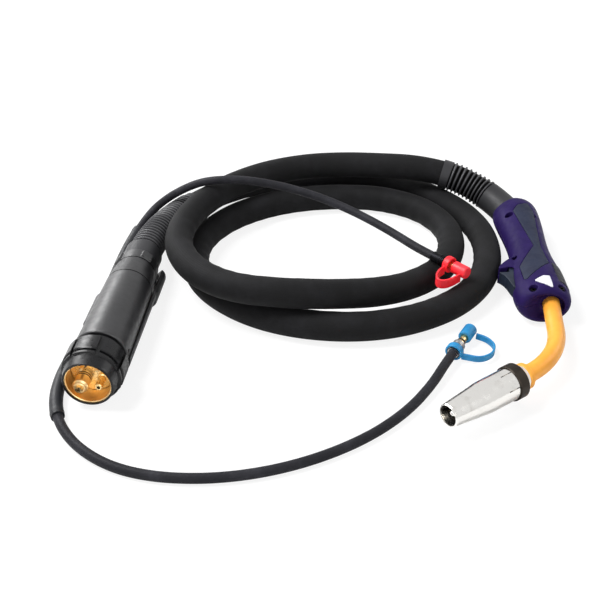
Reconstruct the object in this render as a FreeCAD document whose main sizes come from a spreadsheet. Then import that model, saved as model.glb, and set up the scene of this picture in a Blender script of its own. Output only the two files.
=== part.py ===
# Water-cooled welding torch with its hose package, lying on a bench.
# X points right, Y away from the viewer and Z up, and the bench is Z = 0.
# The origin is under the middle of the torch head: handle, neck and gas nozzle.
import FreeCAD, Part
import math
import os
import re
import Sketcher

Vector = FreeCAD.Vector
Rotation = FreeCAD.Rotation
Placement = FreeCAD.Placement

# Driving sizes in millimetres and degrees
SIZES = [
    # Handle: two shells that meet at mid height, lying on the bench
    ("handle_lift", 20.5), ("shell_wall", 2.6), ("mouth_half_width", 18.6), ("mouth_half_height", 14.4),
    ("cup_floor_radius", 11.5), ("cup_floor_y", 5.0), ("cup_floor_wall", 3.0), ("trim_depth", 1.4),
    ("trim_gap", 0.3), ("trim_bed", 0.1), ("guard_height", 18.0), ("screw_head_radius", 2.8),
    ("screw_head_height", 2.2), ("screw_radius", 1.4), ("screw_sink_radius", 4.0), ("long_screw", 24.0),
    ("short_screw", 4.8), ("post_radius", 5.4), ("side_screw_sink_radius", 2.9),
    # Trigger, its pin and its switch
    ("trigger_height", 13.0), ("trigger_gap", 0.6), ("trigger_pin_radius", 1.5),
    ("trigger_pin_length", 24.0),
    ("pin_play", 0.08), ("trigger_pin_x", 27.0), ("trigger_pin_y", 27.0), ("switch_x", 37.0),
    ("switch_y", 58.0), ("switch_depth", 10.0), ("switch_width", 20.0), ("switch_height", 6.4),
    ("plunger_radius", 1.2), ("plunger_reach", 6.1), ("plunger_hold", 3.0), ("plunger_play", 0.1),
    ("trigger_spring_radius", 2.4), ("trigger_spring_wire", 0.35), ("trigger_spring_turns", 9.0),
    ("trigger_spring_y", 35.0),
    # Neck
    ("neck_radius", 8.0), ("neck_bore", 5.6), ("core_tube_radius", 5.2), ("core_tube_bore", 2.2),
    ("clamp_width", 17.6), ("clamp_length", 14.0), ("clamp_height", 17.6), ("clamp_y", 24.0),
    ("neck_lean", 6.0), ("neck_bend", 48.0), ("neck_bend_radius", 88.0), ("neck_root_x", 53.4),
    ("neck_root_y", 12.0), ("neck_corner", 90.0), ("neck_tail", 6.2), ("neck_inside", 30.0),
    # Gas nozzle and what it covers, measured forward from the end of the neck
    ("collar_radius", 11.8), ("collar_width", 3.2), ("collar_hub_radius", 9.4), ("collar_hub_length", 4.2),
    ("seat_radius", 12.4), ("seat_face_radius", 10.9), ("seat_bore", 9.6), ("seat_length", 24.0),
    ("nozzle_start", 7.8), ("nozzle_end", 88.5), ("nozzle_radius", 14.4), ("nozzle_straight_end", 47.0),
    ("nozzle_tip_radius", 10.4), ("nozzle_mouth_radius", 8.9), ("nozzle_bore", 12.5), ("nozzle_slots", 6.0),
    ("nozzle_slot_width", 0.9), ("nozzle_slot_end", 32.0), ("band_start", 9.4), ("band_width", 10.0),
    ("band_radius", 15.7), ("fit_gap", 0.1), ("diffuser_radius", 9.4), ("diffuser_end", 40.0),
    ("diffuser_hole_radius", 1.1), ("diffuser_holes", 6.0), ("holder_radius", 5.2), ("holder_end", 50.0),
    ("tip_thread_radius", 2.9), ("tip_radius", 4.0), ("tip_nose_radius", 2.4), ("tip_end", 84.0),
    ("tip_bore", 0.7),
    # Hose sleeve with the wire conduit inside, and the two ribbed boots
    ("hose_radius", 14.0), ("hose_bore", 11.6), ("conduit_radius", 5.0), ("conduit_bore", 2.4),
    ("boot_gap", 0.3), ("grommet_length", 6.0), ("boot_start", 28.0), ("boot_collar_radius", 15.9),
    ("boot_collar_end", 60.0),
    ("boot_root", 15.0), ("boot_crest", 16.1), ("boot_cuff_radius", 15.9), ("boot_cuff_length", 10.0),
    ("boot_end", 117.0), ("boot_ribs", 9.0), ("rear_boot_start", 187.0), ("rear_boot_cuff_radius", 18.6),
    ("rear_boot_cuff_end", 204.0), ("rear_boot_root", 15.0), ("rear_boot_crest", 16.9),
    ("rear_boot_length", 150.0), ("rear_boot_ribs", 24.0), ("rear_boot_tip", 15.6),
    # Connector, measured back from the front face of its union nut
    ("connector_x", -361.0), ("connector_y", -124.0), ("connector_lift", 27.0), ("connector_turn", 5.5),
    ("nut_lip_radius", 22.0), ("nut_body_radius", 24.0), ("nut_lip_length", 11.0),
    ("nut_shoulder_radius", 25.8),
    ("nut_shoulder_end", 14.0), ("nut_pad_radius", 27.0), ("nut_pad_start", 16.0), ("nut_length", 35.0),
    ("nut_hub_radius", 22.0), ("nut_hub_end", 40.4), ("nut_turn", -21.5),
    ("nut_step", 22.4), ("nut_slots", 7.0), ("nut_slot_width", 3.2), ("nut_slot_depth", 2.6),
    ("thread_radius", 19.0), ("insert_radius", 21.0), ("insert_end", 21.2), ("flange_radius", 18.6),
    ("flange_start", 17.0), ("flange_end", 22.2), ("block_radius", 16.4), ("block_end", 60.0),
    ("run_gap", 0.1), ("nut_clip_radius", 18.2), ("nut_clip_start", 40.6), ("nut_clip_width", 1.4),
    ("housing_radius", 22.5), ("housing_front_radius", 24.2), ("housing_bore", 19.9),
    ("housing_start", 42.3), ("housing_land", 8.0), ("housing_end", 145.0), ("collar_gap", 0.1),
    ("taper_end", 173.0), ("taper_radius", 19.8),
    ("latch_end", 186.8), ("latch_radius", 20.6), ("latch_tabs", 4.0), ("latch_tab_width", 11.0),
    ("latch_tab_rise", 1.1), ("latch_tab_length", 9.0), ("spigot_x", -7.8), ("spigot_drop", 5.4),
    ("spigot_radius", 6.8), ("spigot_nose_radius", 5.2), ("spigot_tip", 0.6), ("spigot_nose_length", 3.2),
    ("spigot_bore", 1.8), ("spigot_tail_radius", 5.0), ("seal_wire", 0.8), ("nipple_x", 8.2),
    ("nipple_drop", 4.6), ("nipple_radius", 3.2), ("nipple_bore", 1.5), ("nipple_tip", 2.4),
    ("contact_x", 7.0), ("contact_rise", 8.6), ("contact_radius", 1.7), ("contact_tip", 8.0),
    ("contact_shoulder_radius", 2.6), ("bush_radius", 3.8), ("bush_bore", 2.75),
    ("bush_end", 36.0), ("contact_spring_radius", 2.2), ("contact_spring_wire", 0.3),
    ("contact_spring_turns", 5.0), ("liner_nut_radius", 3.4), ("liner_nut_length", 2.2),
    ("housing_screw_radius", 1.5), ("housing_screw_head", 2.8),
    # Cowl under the housing, where the two water hoses leave
    ("cowl_start", 104.0), ("cowl_end", 150.0), ("cowl_side", 26.5), ("cowl_radius", 8.8),
    ("cowl_lift", 9.8), ("cowl_far_side", 15.0), ("cowl_far_radius", 9.0), ("cowl_far_start", 156.0),
    ("cowl_far_end", 195.0), ("cowl_web", 6.4), ("belly_side", 3.2), ("belly_drop", 4.2),
    ("belly_start", 44.0), ("belly_end", 150.0), ("belly_top", 4.0),
    # Water hoses, their sheaths and what is on their ends
    ("water_radius", 4.3), ("water_bore", 2.6), ("sheath_radius", 5.9), ("sheath_gap", 0.3),
    ("ferrule_radius", 5.4), ("ferrule_start", -8.0), ("ferrule_end", 6.5), ("ridge_radius", 5.9),
    ("stub_radius", 3.2), ("stub_shoulder_radius", 4.4), ("stub_shoulder_end", 8.6), ("stub_end", 31.0),
    ("stub_bore", 1.8), ("stub_tail_radius", 2.5), ("stub_tail", -6.0), ("stub_seal_start", 10.4),
    ("cap_start", 18.5), ("cap_radius", 6.2), ("cap_length", 16.0), ("cap_bore", 3.4), ("cap_floor", 31.8),
    ("ring_radius", 8.0), ("ring_width", 6.4), ("ring_bore", 5.8), ("blue_ring_start", -7.6),
    ("red_ring_start", 8.6), ("strap_wall", 1.8), ("blue_strap_height", 6.4), ("red_strap_height", 9.4),
]

# Handle stations: name, distance along, left edge, right edge, half height
STATIONS = [
    ("front", -1.0, 26.0, 66.2, 15.5), ("lip", 3.0, 21.6, 70.8, 19.0), ("rim", 9.5, 19.8, 72.5, 20.3),
    ("brow", 22.0, 19.4, 72.7, 20.2), ("palm", 46.0, 21.8, 72.5, 18.9), ("waist", 76.0, 26.5, 69.5, 18.0),
    ("grip", 104.0, 28.4, 69.1, 18.4), ("heel", 138.0, 26.6, 71.5, 19.6), ("tail", 166.0, 24.5, 72.7, 20.2),
    ("shoulder", 181.0, 26.0, 71.3, 18.4), ("rear", 188.0, 31.5, 66.6, 13.6),
]
for name, along, left, right, half in STATIONS:
    SIZES += [(name + "_along", along), (name + "_middle", (left + right) / 2),
              (name + "_reach", (right - left) / 2), (name + "_rise", half)]
VALUE = dict(SIZES)

# The main hose from inside the handle, round the coil, into the connector
HOSE_ROUTE = [
    (49.4, 154, 20.5), (41, 184, 21.5), (20, 211, 29.5), (-13, 226, 42.4), (-53, 236, 48.2),
    (-96, 245, 46.3),
    (-139, 252, 44), (-182, 248, 43), (-225, 229, 43), (-263, 198, 43.2), (-290, 157, 43.6),
    (-305, 111, 43.6), (-304, 67, 43.6), (-284.5, 26, 43.6), (-248, -3, 44), (-202, -12, 44),
    (-156, -7, 39.4), (-112, 11, 29), (-73, 40, 19), (-42, 75, 14.2), (-25, 117, 14.2), (-26, 161, 14.2),
    (-48, 200, 14.2), (-88, 225, 14.2), (-134, 231, 14.2), (-182, 226, 14.2), (-227, 208, 14.2),
    (-264, 178, 14.2), (-288, 137, 14.2), (-292.5, 91, 14.2), (-278, 47.5, 14.2), (-248, 12.5, 14.2),
    (-206.5, -12, 14.2), (-159, -24, 14.2), (-109, -22, 14.2), (-62, -5, 14.2), (-24, 25, 14.2),
    (1, 65, 14.2), (11, 113, 14.2), (7, 161, 14.2), (-13, 205, 14.2), (-48, 243, 14.2), (-93, 268, 14.2),
    (-143, 279, 14.2), (-195, 276, 14.2), (-243, 261, 14.2), (-280.5, 234, 14.4), (-305.5, 201, 16.2),
    (-321, 167, 20.5), (-332.5, 131, 25), (-339.9, 95, 27), (-343.3, 59.6, 27),
]
# The two water hoses, from inside the cowl to their couplings
SUPPLY_ROUTE = [
    (-375.4, 3, 9.8), (-378.4, -22, 9.5), (-386.5, -53, 8), (-392.6, -86, 6.8), (-392, -119, 6.3),
    (-382, -151, 6.2), (-361, -178.5, 5.2), (-332, -199, 4.6), (-297, -210, 4.6), (-255, -212, 4.6),
    (-212, -205, 4.6), (-169, -189, 4.6), (-128.5, -164.5, 4.6), (-95, -133.5, 4.8), (-70, -99, 6.2),
    (-54.8, -70, 8), (-42.5, -49, 8.5),
]
RETURN_ROUTE = [
    (-374.8, 9, 9.8), (-371.6, 44, 9.7), (-368.7, 80, 9.6), (-365.2, 117, 10.2), (-360, 146, 12),
    (-352.5, 167, 17.4), (-341.5, 182, 26.2), (-325.5, 185.5, 38), (-306, 182, 51), (-286, 174.5, 62.4),
    (-263, 172, 66), (-238, 174, 64), (-204, 171, 59), (-169, 161, 53), (-138, 147, 46.5),
    (-110, 127, 41.4), (-86, 102, 38.8), (-66, 77, 37.4), (-47.5, 57.5, 37.2),
]
# Middle lines of the two cap straps, from the cap round to the ring
BLUE_STRAP = [(-20.9, -25.7), (-12, -31), (-6, -42), (-10, -55), (-22, -62), (-38.6, -56.5)]
RED_STRAP = [(-31.0, 30.2), (-38.5, 23.2), (-46, 18.4), (-53, 19), (-54.4, 27), (-51, 36.6), (-44.5, 44.1)]
BLUE_STRAP_LIFT = 5.4
RED_STRAP_LIFT = 34.0

# Outlines on the handle, seen from above
INLAY_OUTLINE = [(40.5, 153), (46.5, 163), (60, 171), (63, 154), (59.2, 112), (56.8, 84), (58.6, 52),
                 (31.6, 22.6), (28.8, 24.2), (29.4, 50.5), (49.0, 83)]
LABEL_OUTLINE = [(37.3, 17.4), (37.3, 15.8), (41.8, 11.2), (50.4, 5.0), (51.8, 4.9), (52.8, 6.2),
                 (53.2, 23.6), (52.3, 24.9), (46.3, 24.2), (39, 18.9)]
GUARD_OUTLINE = [(30, 82), (27, 75.6), (19.5, 68.6), (14.4, 62.4), (11.4, 57.6), (10.9, 55.4), (12, 53.9),
                 (16.5, 55.2), (20.5, 57.2), (24.5, 56.8), (30, 53.9)]
TRIGGER_OUTLINE = [(31, 24.6), (27, 22.8), (22.4, 23.4), (20.4, 26), (18.8, 32), (17.4, 38.4), (15.4, 44.2),
                   (13, 48.2), (11, 50.2), (11.5, 51.2), (20.8, 51.6), (21.2, 58), (21.6, 63.6), (23, 64.8),
                   (29, 64.2), (30.6, 60), (31, 44)]
# Screws in the handle: across, along, where the head rests and the length
SCREWS = [(36.2, 148.0, 29.5, "long_screw"), (60.0, 146.0, 29.5, "long_screw"),
          (34.4, 6.5, 33.5, "short_screw"), (61.5, 8.5, 33.5, "short_screw")]

ROUTE_ARC_SHARE = 0.45
ORIGIN = Vector(-1.6, -11.9, 0)
CORD_STEP = 6.0

doc = FreeCAD.newDocument("welding_torch")
sheet = doc.addObject("Spreadsheet::Sheet", "Sheet")
for row, (alias, value) in enumerate(SIZES, 1):
    sheet.set("A%d" % row, alias)
    sheet.set("B%d" % row, str(value))
    sheet.setAlias("B%d" % row, alias)
doc.recompute()

nodes = []


def bound(expression):
    """The expression with each alias pointed at the sheet."""
    def replace(word):
        return "Sheet." + word.group() if word.group() in VALUE else word.group()
    return re.sub(r"[a-z][a-z_]*", replace, str(expression))


def keep(thing, label):
    """Takes an object as a piece of the torch and moves it so that the origin is under the head."""
    thing.Placement = Placement(ORIGIN, Rotation()) * thing.Placement
    thing.Label = label
    nodes.append(thing)
    return thing


def frame_at(point, direction):
    """A placement with its own Z along the direction."""
    return Placement(Vector(*point), Rotation(Vector(0, 0, 1), Vector(*direction)))


def origin_item(body, role):
    """The plane or axis of a body's own origin."""
    return next(item for item in body.Origin.OriginFeatures if item.Role == role)


def closed_sketch(body, name, points, role):
    """A closed outline whose corners are pairs of numbers or expressions."""
    sketch = body.newObject("Sketcher::SketchObject", name)
    sketch.AttachmentSupport = [(origin_item(body, role), "")]
    sketch.MapMode = "FlatFace"
    count = len(points)
    turns = [2 * math.pi * k / count for k in range(count)]
    around = [Vector(9 * math.cos(turn), 9 * math.sin(turn), 0) for turn in turns]
    for k in range(count):
        sketch.addGeometry(Part.LineSegment(around[k], around[(k + 1) % count]), False)
    for k in range(count):
        sketch.addConstraint(Sketcher.Constraint("Coincident", k, 2, (k + 1) % count, 1))
    for k, corner in enumerate(points):
        for kind, start, wanted in zip(("DistanceX", "DistanceY"), (around[k].x, around[k].y), corner):
            number = sketch.addConstraint(Sketcher.Constraint(kind, -1, 1, k, 1, start))
            sketch.setExpression("Constraints[%d]" % number, bound(wanted))
    return sketch


def turned(label, profile, place=Placement()):
    """A turned body: pairs of radius and distance along, spun about its own Z."""
    body = doc.addObject("PartDesign::Body", label)
    sketch = closed_sketch(body, label + "_profile", profile, "XZ_Plane")
    spin = body.newObject("PartDesign::Revolution", label + "_spin")
    spin.Profile = sketch
    spin.ReferenceAxis = (sketch, ["V_Axis"])
    spin.Angle = 360
    body.Placement = place
    return body


def plate(label, outline, height, place=Placement(), both_ways=True):
    """A flat body: the outline padded along its own Z."""
    body = doc.addObject("PartDesign::Body", label)
    pad = body.newObject("PartDesign::Pad", label + "_pad")
    pad.Profile = closed_sketch(body, label + "_outline", outline, "XY_Plane")
    pad.setExpression("Length", bound(height))
    pad.Midplane = both_ways
    body.Placement = place
    return body


def slotted(body, outline, role, depth, count):
    """Cuts the outline out of a body, as many times round its own Z as the count says."""
    slot = body.newObject("PartDesign::Pocket", body.Name + "_slot")
    slot.Profile = closed_sketch(body, body.Name + "_slot_outline", outline, role)
    slot.setExpression("Length", bound(depth))
    slot.Reversed = True
    ring = body.newObject("PartDesign::PolarPattern", body.Name + "_slots")
    ring.Originals = [slot]
    ring.Axis = (origin_item(body, "Z_Axis"), [""])
    ring.Angle = 360
    ring.setExpression("Occurrences", bound(count))
    body.Tip = ring
    return body


def primitive(kind, name, place=Placement(), **expressions):
    """A simple solid whose sizes follow the sheet."""
    solid = doc.addObject(kind, name)
    for field, expression in expressions.items():
        solid.setExpression(field, bound(expression))
    solid.Placement = place
    return solid


def bar(name, place, radius, height):
    """A round bar from the placement's origin."""
    return primitive("Part::Cylinder", name, place, Radius=radius, Height=height)


def cut(name, base, tool):
    """The base without the tool."""
    result = doc.addObject("Part::Cut", name)
    result.Base = base
    result.Tool = tool
    return result


def fuse(name, shapes):
    """The shapes as one."""
    result = doc.addObject("Part::MultiFuse", name)
    result.Shapes = shapes
    return result


def common(name, shapes):
    """What the shapes share."""
    result = doc.addObject("Part::MultiCommon", name)
    result.Shapes = shapes
    return result


def loose(name, shape):
    """A shape that neither a body nor a primitive can give."""
    thing = doc.addObject("Part::Feature", name)
    thing.Shape = shape
    return thing


def route_edges(route, name):
    """Straight runs joined by tangent arcs, with the length and the bends printed."""
    points = [Vector(*point) for point in route]
    edges = []
    radii = []
    start = points[0]
    for before, corner, after in zip(points, points[1:], points[2:]):
        back = before - corner
        on = after - corner
        taken = ROUTE_ARC_SHARE * min(back.Length, on.Length)
        half = back.getAngle(on) / 2
        radii.append(taken * math.tan(half))
        back.normalize()
        on.normalize()
        reach = taken / math.cos(half) - radii[-1]
        enter = corner + back * taken
        leave = corner + on * taken
        edges.append(Part.LineSegment(start, enter).toShape())
        edges.append(Part.Arc(enter, corner + (back + on).normalize() * reach, leave).toShape())
        start = leave
    edges.append(Part.LineSegment(start, points[-1]).toShape())
    length = sum(edge.Length for edge in edges)
    print("%s: %.0f mm long, bends from %.0f mm radius" % (name, length, min(radii)))
    return edges


def stations(edges, lengths):
    """Points and directions at the given distances along the edges."""
    found = []
    for length in lengths:
        left = length
        for edge in edges:
            if left <= edge.Length or edge is edges[-1]:
                at = edge.getParameterByLength(min(left, edge.Length))
                found.append((edge.valueAt(at), edge.tangentAt(at)))
                break
            left -= edge.Length
    return found


def swept(edges, radius):
    """A round bar along the edges, checked against its section times its length."""
    path = Part.Wire(edges)
    point, direction = stations(edges, [0])[0]
    solid = path.makePipeShell([Part.Wire(Part.makeCircle(radius, point, direction))], True, False)
    wanted = math.pi * radius ** 2 * path.Length
    if solid.Volume < 0:
        solid.reverse()
    assert abs(solid.Volume / wanted - 1) < 0.01, "swept volume is %.3f of its own" % (solid.Volume / wanted)
    return solid


def ruled(edges, rings):
    """A ruled solid through circles, each a distance along the edges and a radius."""
    wires = []
    for (point, direction), (_, radius) in zip(stations(edges, [along for along, _ in rings]), rings):
        circle = Part.Circle(point, direction, radius)
        circle.XAxis = Vector(0, 0, 1).cross(direction)
        wires.append(Part.Wire(circle.toShape()))
    return Part.makeLoft(wires, True, True)


def least_gap_to_itself(edges, radius):
    """The least gap between the surfaces of turns that pass each other."""
    total = sum(edge.Length for edge in edges)
    points = [point for point, _ in stations(edges, [CORD_STEP * k for k in range(int(total / CORD_STEP))])]
    apart = int(16 * radius / CORD_STEP)
    return min((points[i] - points[j]).Length for i in range(len(points))
               for j in range(i + apart, len(points))) - 2 * radius


def least_gap_between(some, some_radius, others, other_radius):
    """The least gap between the surfaces of two tubes."""
    rows = []
    for edges in (some, others):
        total = sum(edge.Length for edge in edges)
        steps = [CORD_STEP * k for k in range(int(total / CORD_STEP))]
        rows.append([point for point, _ in stations(edges, steps)])
    return min((a - b).Length for a in rows[0] for b in rows[1]) - some_radius - other_radius


def coil(name, place, radius, wire, turns, height):
    """A coil spring along the placement's Z."""
    line = Part.makeHelix(height / turns, height, radius)
    ring = Part.Wire(Part.makeCircle(wire, Vector(radius, 0, 0), Vector(0, 1, 0)))
    thing = loose(name, Part.Wire(line).makePipeShell([ring], True, True))
    thing.Placement = place
    return thing


def strap(name, route, lift, height, ring, ring_hole):
    """A ring with a flat strap that leaves it edge up."""
    edges = route_edges([(x, y, lift) for x, y in route], name)
    point, direction = stations(edges, [0])[0]
    side = Vector(0, 0, 1).cross(direction) * (VALUE["strap_wall"] / 2)
    up = Vector(0, 0, VALUE[height] / 2)
    corners = [point + side + up, point - side + up, point - side - up, point + side - up]
    band = loose(name + "_band", Part.Wire(edges).makePipeShell([Part.makePolygon(corners + corners[:1])],
                                                                True, False))
    return cut(name, fuse(name + "_whole", [band, ring]), ring_hole)


# Handle

def handle_form(name, inset, ends):
    """The handle's form drawn in by the inset, closed this far inside both ends."""
    rings = []
    for station, _, _, _, _ in STATIONS:
        ring = doc.addObject("Part::Ellipse", "%s_%s" % (name, station))
        ring.Placement = Placement(Vector(0, 0, 0), Rotation(Vector(1, 0, 0), 90))
        ring.setExpression("MajorRadius", bound("%s_reach - (%s)" % (station, inset)))
        ring.setExpression("MinorRadius", bound("%s_rise - (%s)" % (station, inset)))
        shift = {"front": " + ", "rear": " - "}.get(station)
        along = "%s_along%s" % (station, "%s%s" % (shift, ends) if shift else "")
        ring.setExpression("Placement.Base.x", bound(station + "_middle"))
        ring.setExpression("Placement.Base.y", bound(along))
        ring.setExpression("Placement.Base.z", bound("handle_lift"))
        rings.append(ring)
    loft = doc.addObject("Part::Loft", name)
    loft.Sections = rings
    loft.Solid = True
    return loft


def prism(name, outline, low, height):
    """An upright block of the outline."""
    return plate(name, outline, height, Placement(Vector(0, 0, low), Rotation()), False)


def drawn_in(outline, gap):
    """The outline with each side moved inwards by the gap."""
    count = len(outline)
    area = sum(outline[k - 1][0] * outline[k][1] - outline[k][0] * outline[k - 1][1] for k in range(count))
    way = 1 if area > 0 else -1
    moved = []
    for k in range(count):
        normals = []
        for a, b in ((k - 1, k), (k, (k + 1) % count)):
            run = Vector(outline[b][0] - outline[a][0], outline[b][1] - outline[a][1], 0).normalize()
            normals.append(Vector(-run.y, run.x, 0) * way)
        middle = normals[0] + normals[1]
        step = middle * (2 * gap / (middle.Length ** 2))
        moved.append((round(outline[k][0] + step.x, 3), round(outline[k][1] + step.y, 3)))
    return moved


def neck_line():
    """The corner points of the neck's middle line and its direction at the nozzle."""
    lean = math.radians(VALUE["neck_lean"])
    bend = math.radians(VALUE["neck_bend"])
    radius = VALUE["neck_bend_radius"]
    root = Vector(VALUE["neck_root_x"], VALUE["neck_root_y"], VALUE["handle_lift"])
    out = Vector(-math.sin(lean), -math.cos(lean), 0)
    on = Vector(-math.sin(lean + bend), -math.cos(lean + bend), 0)
    corner = root + out * VALUE["neck_corner"]
    taken = radius * math.tan(bend / 2)
    inside = (on - out).normalize()
    middle = corner + inside * (radius / math.cos(bend / 2) - radius)
    leave = corner + on * taken
    return root, out, corner - out * taken, middle, leave, leave + on * VALUE["neck_tail"], on


NECK_ROOT, NECK_OUT, NECK_ENTER, NECK_MIDDLE, NECK_LEAVE, NECK_END, NECK_ON = neck_line()
NOZZLE_PLACE = frame_at(NECK_END, NECK_ON)
NECK_EDGES = [
    Part.LineSegment(NECK_ROOT - NECK_OUT * VALUE["neck_inside"], NECK_ENTER).toShape(),
    Part.Arc(NECK_ENTER, NECK_MIDDLE, NECK_LEAVE).toShape(),
    Part.LineSegment(NECK_LEAVE, NECK_END).toShape(),
]
HOSE_EDGES = route_edges(HOSE_ROUTE, "main hose")
SUPPLY_EDGES = route_edges(SUPPLY_ROUTE, "supply hose")
RETURN_EDGES = route_edges(RETURN_ROUTE, "return hose")
print("least gap of the main hose to itself %.2f mm" % least_gap_to_itself(HOSE_EDGES, VALUE["hose_radius"]))
print("least gap from the return hose to the main hose %.2f mm"
      % least_gap_between(RETURN_EDGES, VALUE["water_radius"], HOSE_EDGES, VALUE["hose_radius"]))


def make_handle():
    """Two hollow shells with a cup for the neck, a port for the hose and beds for the trims."""
    lift = VALUE["handle_lift"]
    outer = handle_form("handle_outer", "0", "0")
    bed = handle_form("handle_bed", "trim_depth", "0")
    hollow = cut("handle_hollow", handle_form("handle_inner", "shell_wall", "shell_wall"),
                 primitive("Part::Box", "cup_floor_block",
                           Placement(Vector(0, VALUE["cup_floor_y"] + VALUE["cup_floor_wall"] - 60, 0),
                                     Rotation()),
                           Length="90", Width="60", Height="60"))
    guard = prism("trigger_guard", GUARD_OUTLINE, lift - VALUE["guard_height"] / 2, "guard_height")
    spots = [bar("screw_post_%d" % k, Placement(Vector(x, y, 0), Rotation()), "post_radius",
                 "handle_lift * 2") for k, (x, y, _, _) in enumerate(SCREWS)]
    spots.append(primitive("Part::Box", "switch_shelf",
                           Placement(Vector(VALUE["switch_x"] + 1, VALUE["switch_y"] - 8, 0), Rotation()),
                           Length="switch_depth - 2", Width="16", Height="handle_lift - switch_height / 2"))
    post_limit = handle_form("handle_post_limit", "1", "1")
    posts = common("screw_posts", [fuse("screw_post_row", spots), post_limit])
    body = fuse("handle_body", [cut("handle_walls", outer, hollow), posts, guard])

    mouth = doc.addObject("Part::Ellipse", "mouth_ring")
    mouth.setExpression("MajorRadius", bound("mouth_half_width"))
    mouth.setExpression("MinorRadius", bound("mouth_half_height"))
    mouth.Placement = Placement(Vector(VALUE["front_middle"], VALUE["front_along"] - 0.5, lift),
                                Rotation(Vector(1, 0, 0), 90))
    floor = doc.addObject("Part::Circle", "cup_floor_ring")
    floor.setExpression("Radius", bound("cup_floor_radius"))
    floor.Placement = Placement(Vector(VALUE["neck_root_x"] - 1.5, VALUE["cup_floor_y"], lift),
                                Rotation(Vector(1, 0, 0), 90))
    cup = doc.addObject("Part::Loft", "front_cup")
    cup.Sections = [mouth, floor]
    cup.Solid = True
    cup.Ruled = True
    neck_hole = bar("neck_hole", frame_at(NECK_ROOT - NECK_OUT * 20, NECK_OUT), "neck_radius + trim_gap",
                    "60")
    (start, way), = stations(HOSE_EDGES, [VALUE["boot_start"]])
    port = bar("hose_port", frame_at(start, way), "boot_collar_radius + boot_gap * 3", "60")
    slot = prism("trigger_slot", [(8, 21.6), (36, 21.6), (36, 66.4), (20, 66.4), (20, 53), (8, 53)],
                 lift - VALUE["trigger_height"] / 2 - VALUE["trigger_gap"],
                 "trigger_height + trigger_gap * 2")
    pin_place = Placement(Vector(VALUE["trigger_pin_x"], VALUE["trigger_pin_y"],
                                 lift - VALUE["trigger_pin_length"] / 2), Rotation())
    hose_way = loose("hose_way", swept(HOSE_EDGES[:3], VALUE["hose_radius"] + VALUE["boot_gap"]))
    tools = [cup, neck_hole, port, hose_way, slot, bar("trigger_pin_hole", pin_place, "trigger_pin_radius",
                                             "trigger_pin_length")]
    skin = cut("handle_skin", outer, bed)
    pad_box = primitive("Part::Box", "pad_bed_block", Placement(Vector(61, 18.5, lift - 16.4), Rotation()),
                        Length="20", Width="35.5", Height="32.8")
    blocks = [prism("inlay_bed_top", INLAY_OUTLINE, lift + 8, "20"),
              prism("inlay_bed_bottom", INLAY_OUTLINE, 0, "12.5"),
              prism("label_bed", LABEL_OUTLINE, lift + 8, "20"), pad_box]
    tools.append(common("trim_beds", [skin, fuse("trim_bed_blocks", blocks)]))
    for k, (x, y, seat, length) in enumerate(SCREWS):
        sink = Placement(Vector(x, y, seat), Rotation())
        tools.append(bar("screw_sink_%d" % k, sink, "screw_sink_radius", "20"))
        hole = Placement(Vector(x, y, seat - VALUE[length]), Rotation())
        tools.append(bar("screw_hole_%d" % k, hole, "screw_radius", length + " + 1"))
    side_sink = Placement(Vector(32, 72, lift + 5.5), Rotation(Vector(0, 1, 0), -35))
    tools.append(bar("side_screw_sink", side_sink, "side_screw_sink_radius", "20"))
    whole = cut("handle_whole", body, fuse("handle_tools", tools))
    upper = primitive("Part::Box", "upper_half", Placement(Vector(-10, -20, lift), Rotation()),
                      Length="120", Width="240", Height="40")
    lower = primitive("Part::Box", "lower_half", Placement(Vector(-10, -20, lift - 40), Rotation()),
                      Length="120", Width="240", Height="40")
    keep(common("shell_top", [whole, upper]), "handle_shell_top")
    keep(common("shell_bottom", [whole, lower]), "handle_shell_bottom")

    # The trims fill their beds and leave a thin line all round
    trim = cut("trim_skin", outer, handle_form("trim_under", "trim_depth - trim_bed", "0"))
    inlay = drawn_in(INLAY_OUTLINE, VALUE["trim_gap"])
    keep(common("inlay_top", [trim, prism("inlay_top_block", inlay, lift + 8, "20")]), "grip_inlay_top")
    keep(common("inlay_bottom", [trim, prism("inlay_bottom_block", inlay, 0, "12.5")]), "grip_inlay_bottom")
    label = drawn_in(LABEL_OUTLINE, VALUE["trim_gap"])
    keep(common("label", [trim, prism("label_block", label, lift + 8, "20")]), "label_plate")
    pad_under = handle_form("pad_under", "trim_depth - trim_bed", "0")
    proud = cut("pad_skin", handle_form("pad_outer", "-0.6", "0"), pad_under)
    pad = primitive("Part::Box", "pad_block", Placement(Vector(61.3, 18.8, lift - 16.1), Rotation()),
                    Length="20", Width="34.9", Height="32.2")
    keep(common("pad", [proud, pad]), "thumb_pad")
    screws = []
    for k, (x, y, seat, length) in enumerate(SCREWS):
        shank = bar("handle_screw_shank_%d" % k, Placement(Vector(x, y, seat - VALUE[length]), Rotation()),
                    "screw_radius", length)
        head = bar("handle_screw_head_%d" % k, Placement(Vector(x, y, seat), Rotation()),
                   "screw_head_radius",
                   "screw_head_height")
        corners = [math.radians(60 * n) for n in range(6)]
        socket = prism("handle_screw_socket_%d" % k,
                       [(x + 1.5 * math.cos(corner), y + 1.5 * math.sin(corner)) for corner in corners],
                       seat + 0.8, "screw_head_height")
        screws.append(cut("handle_screw_%d" % k, fuse("handle_screw_body_%d" % k, [shank, head]), socket))
    keep(fuse("screws", screws), "handle_screws")


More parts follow.
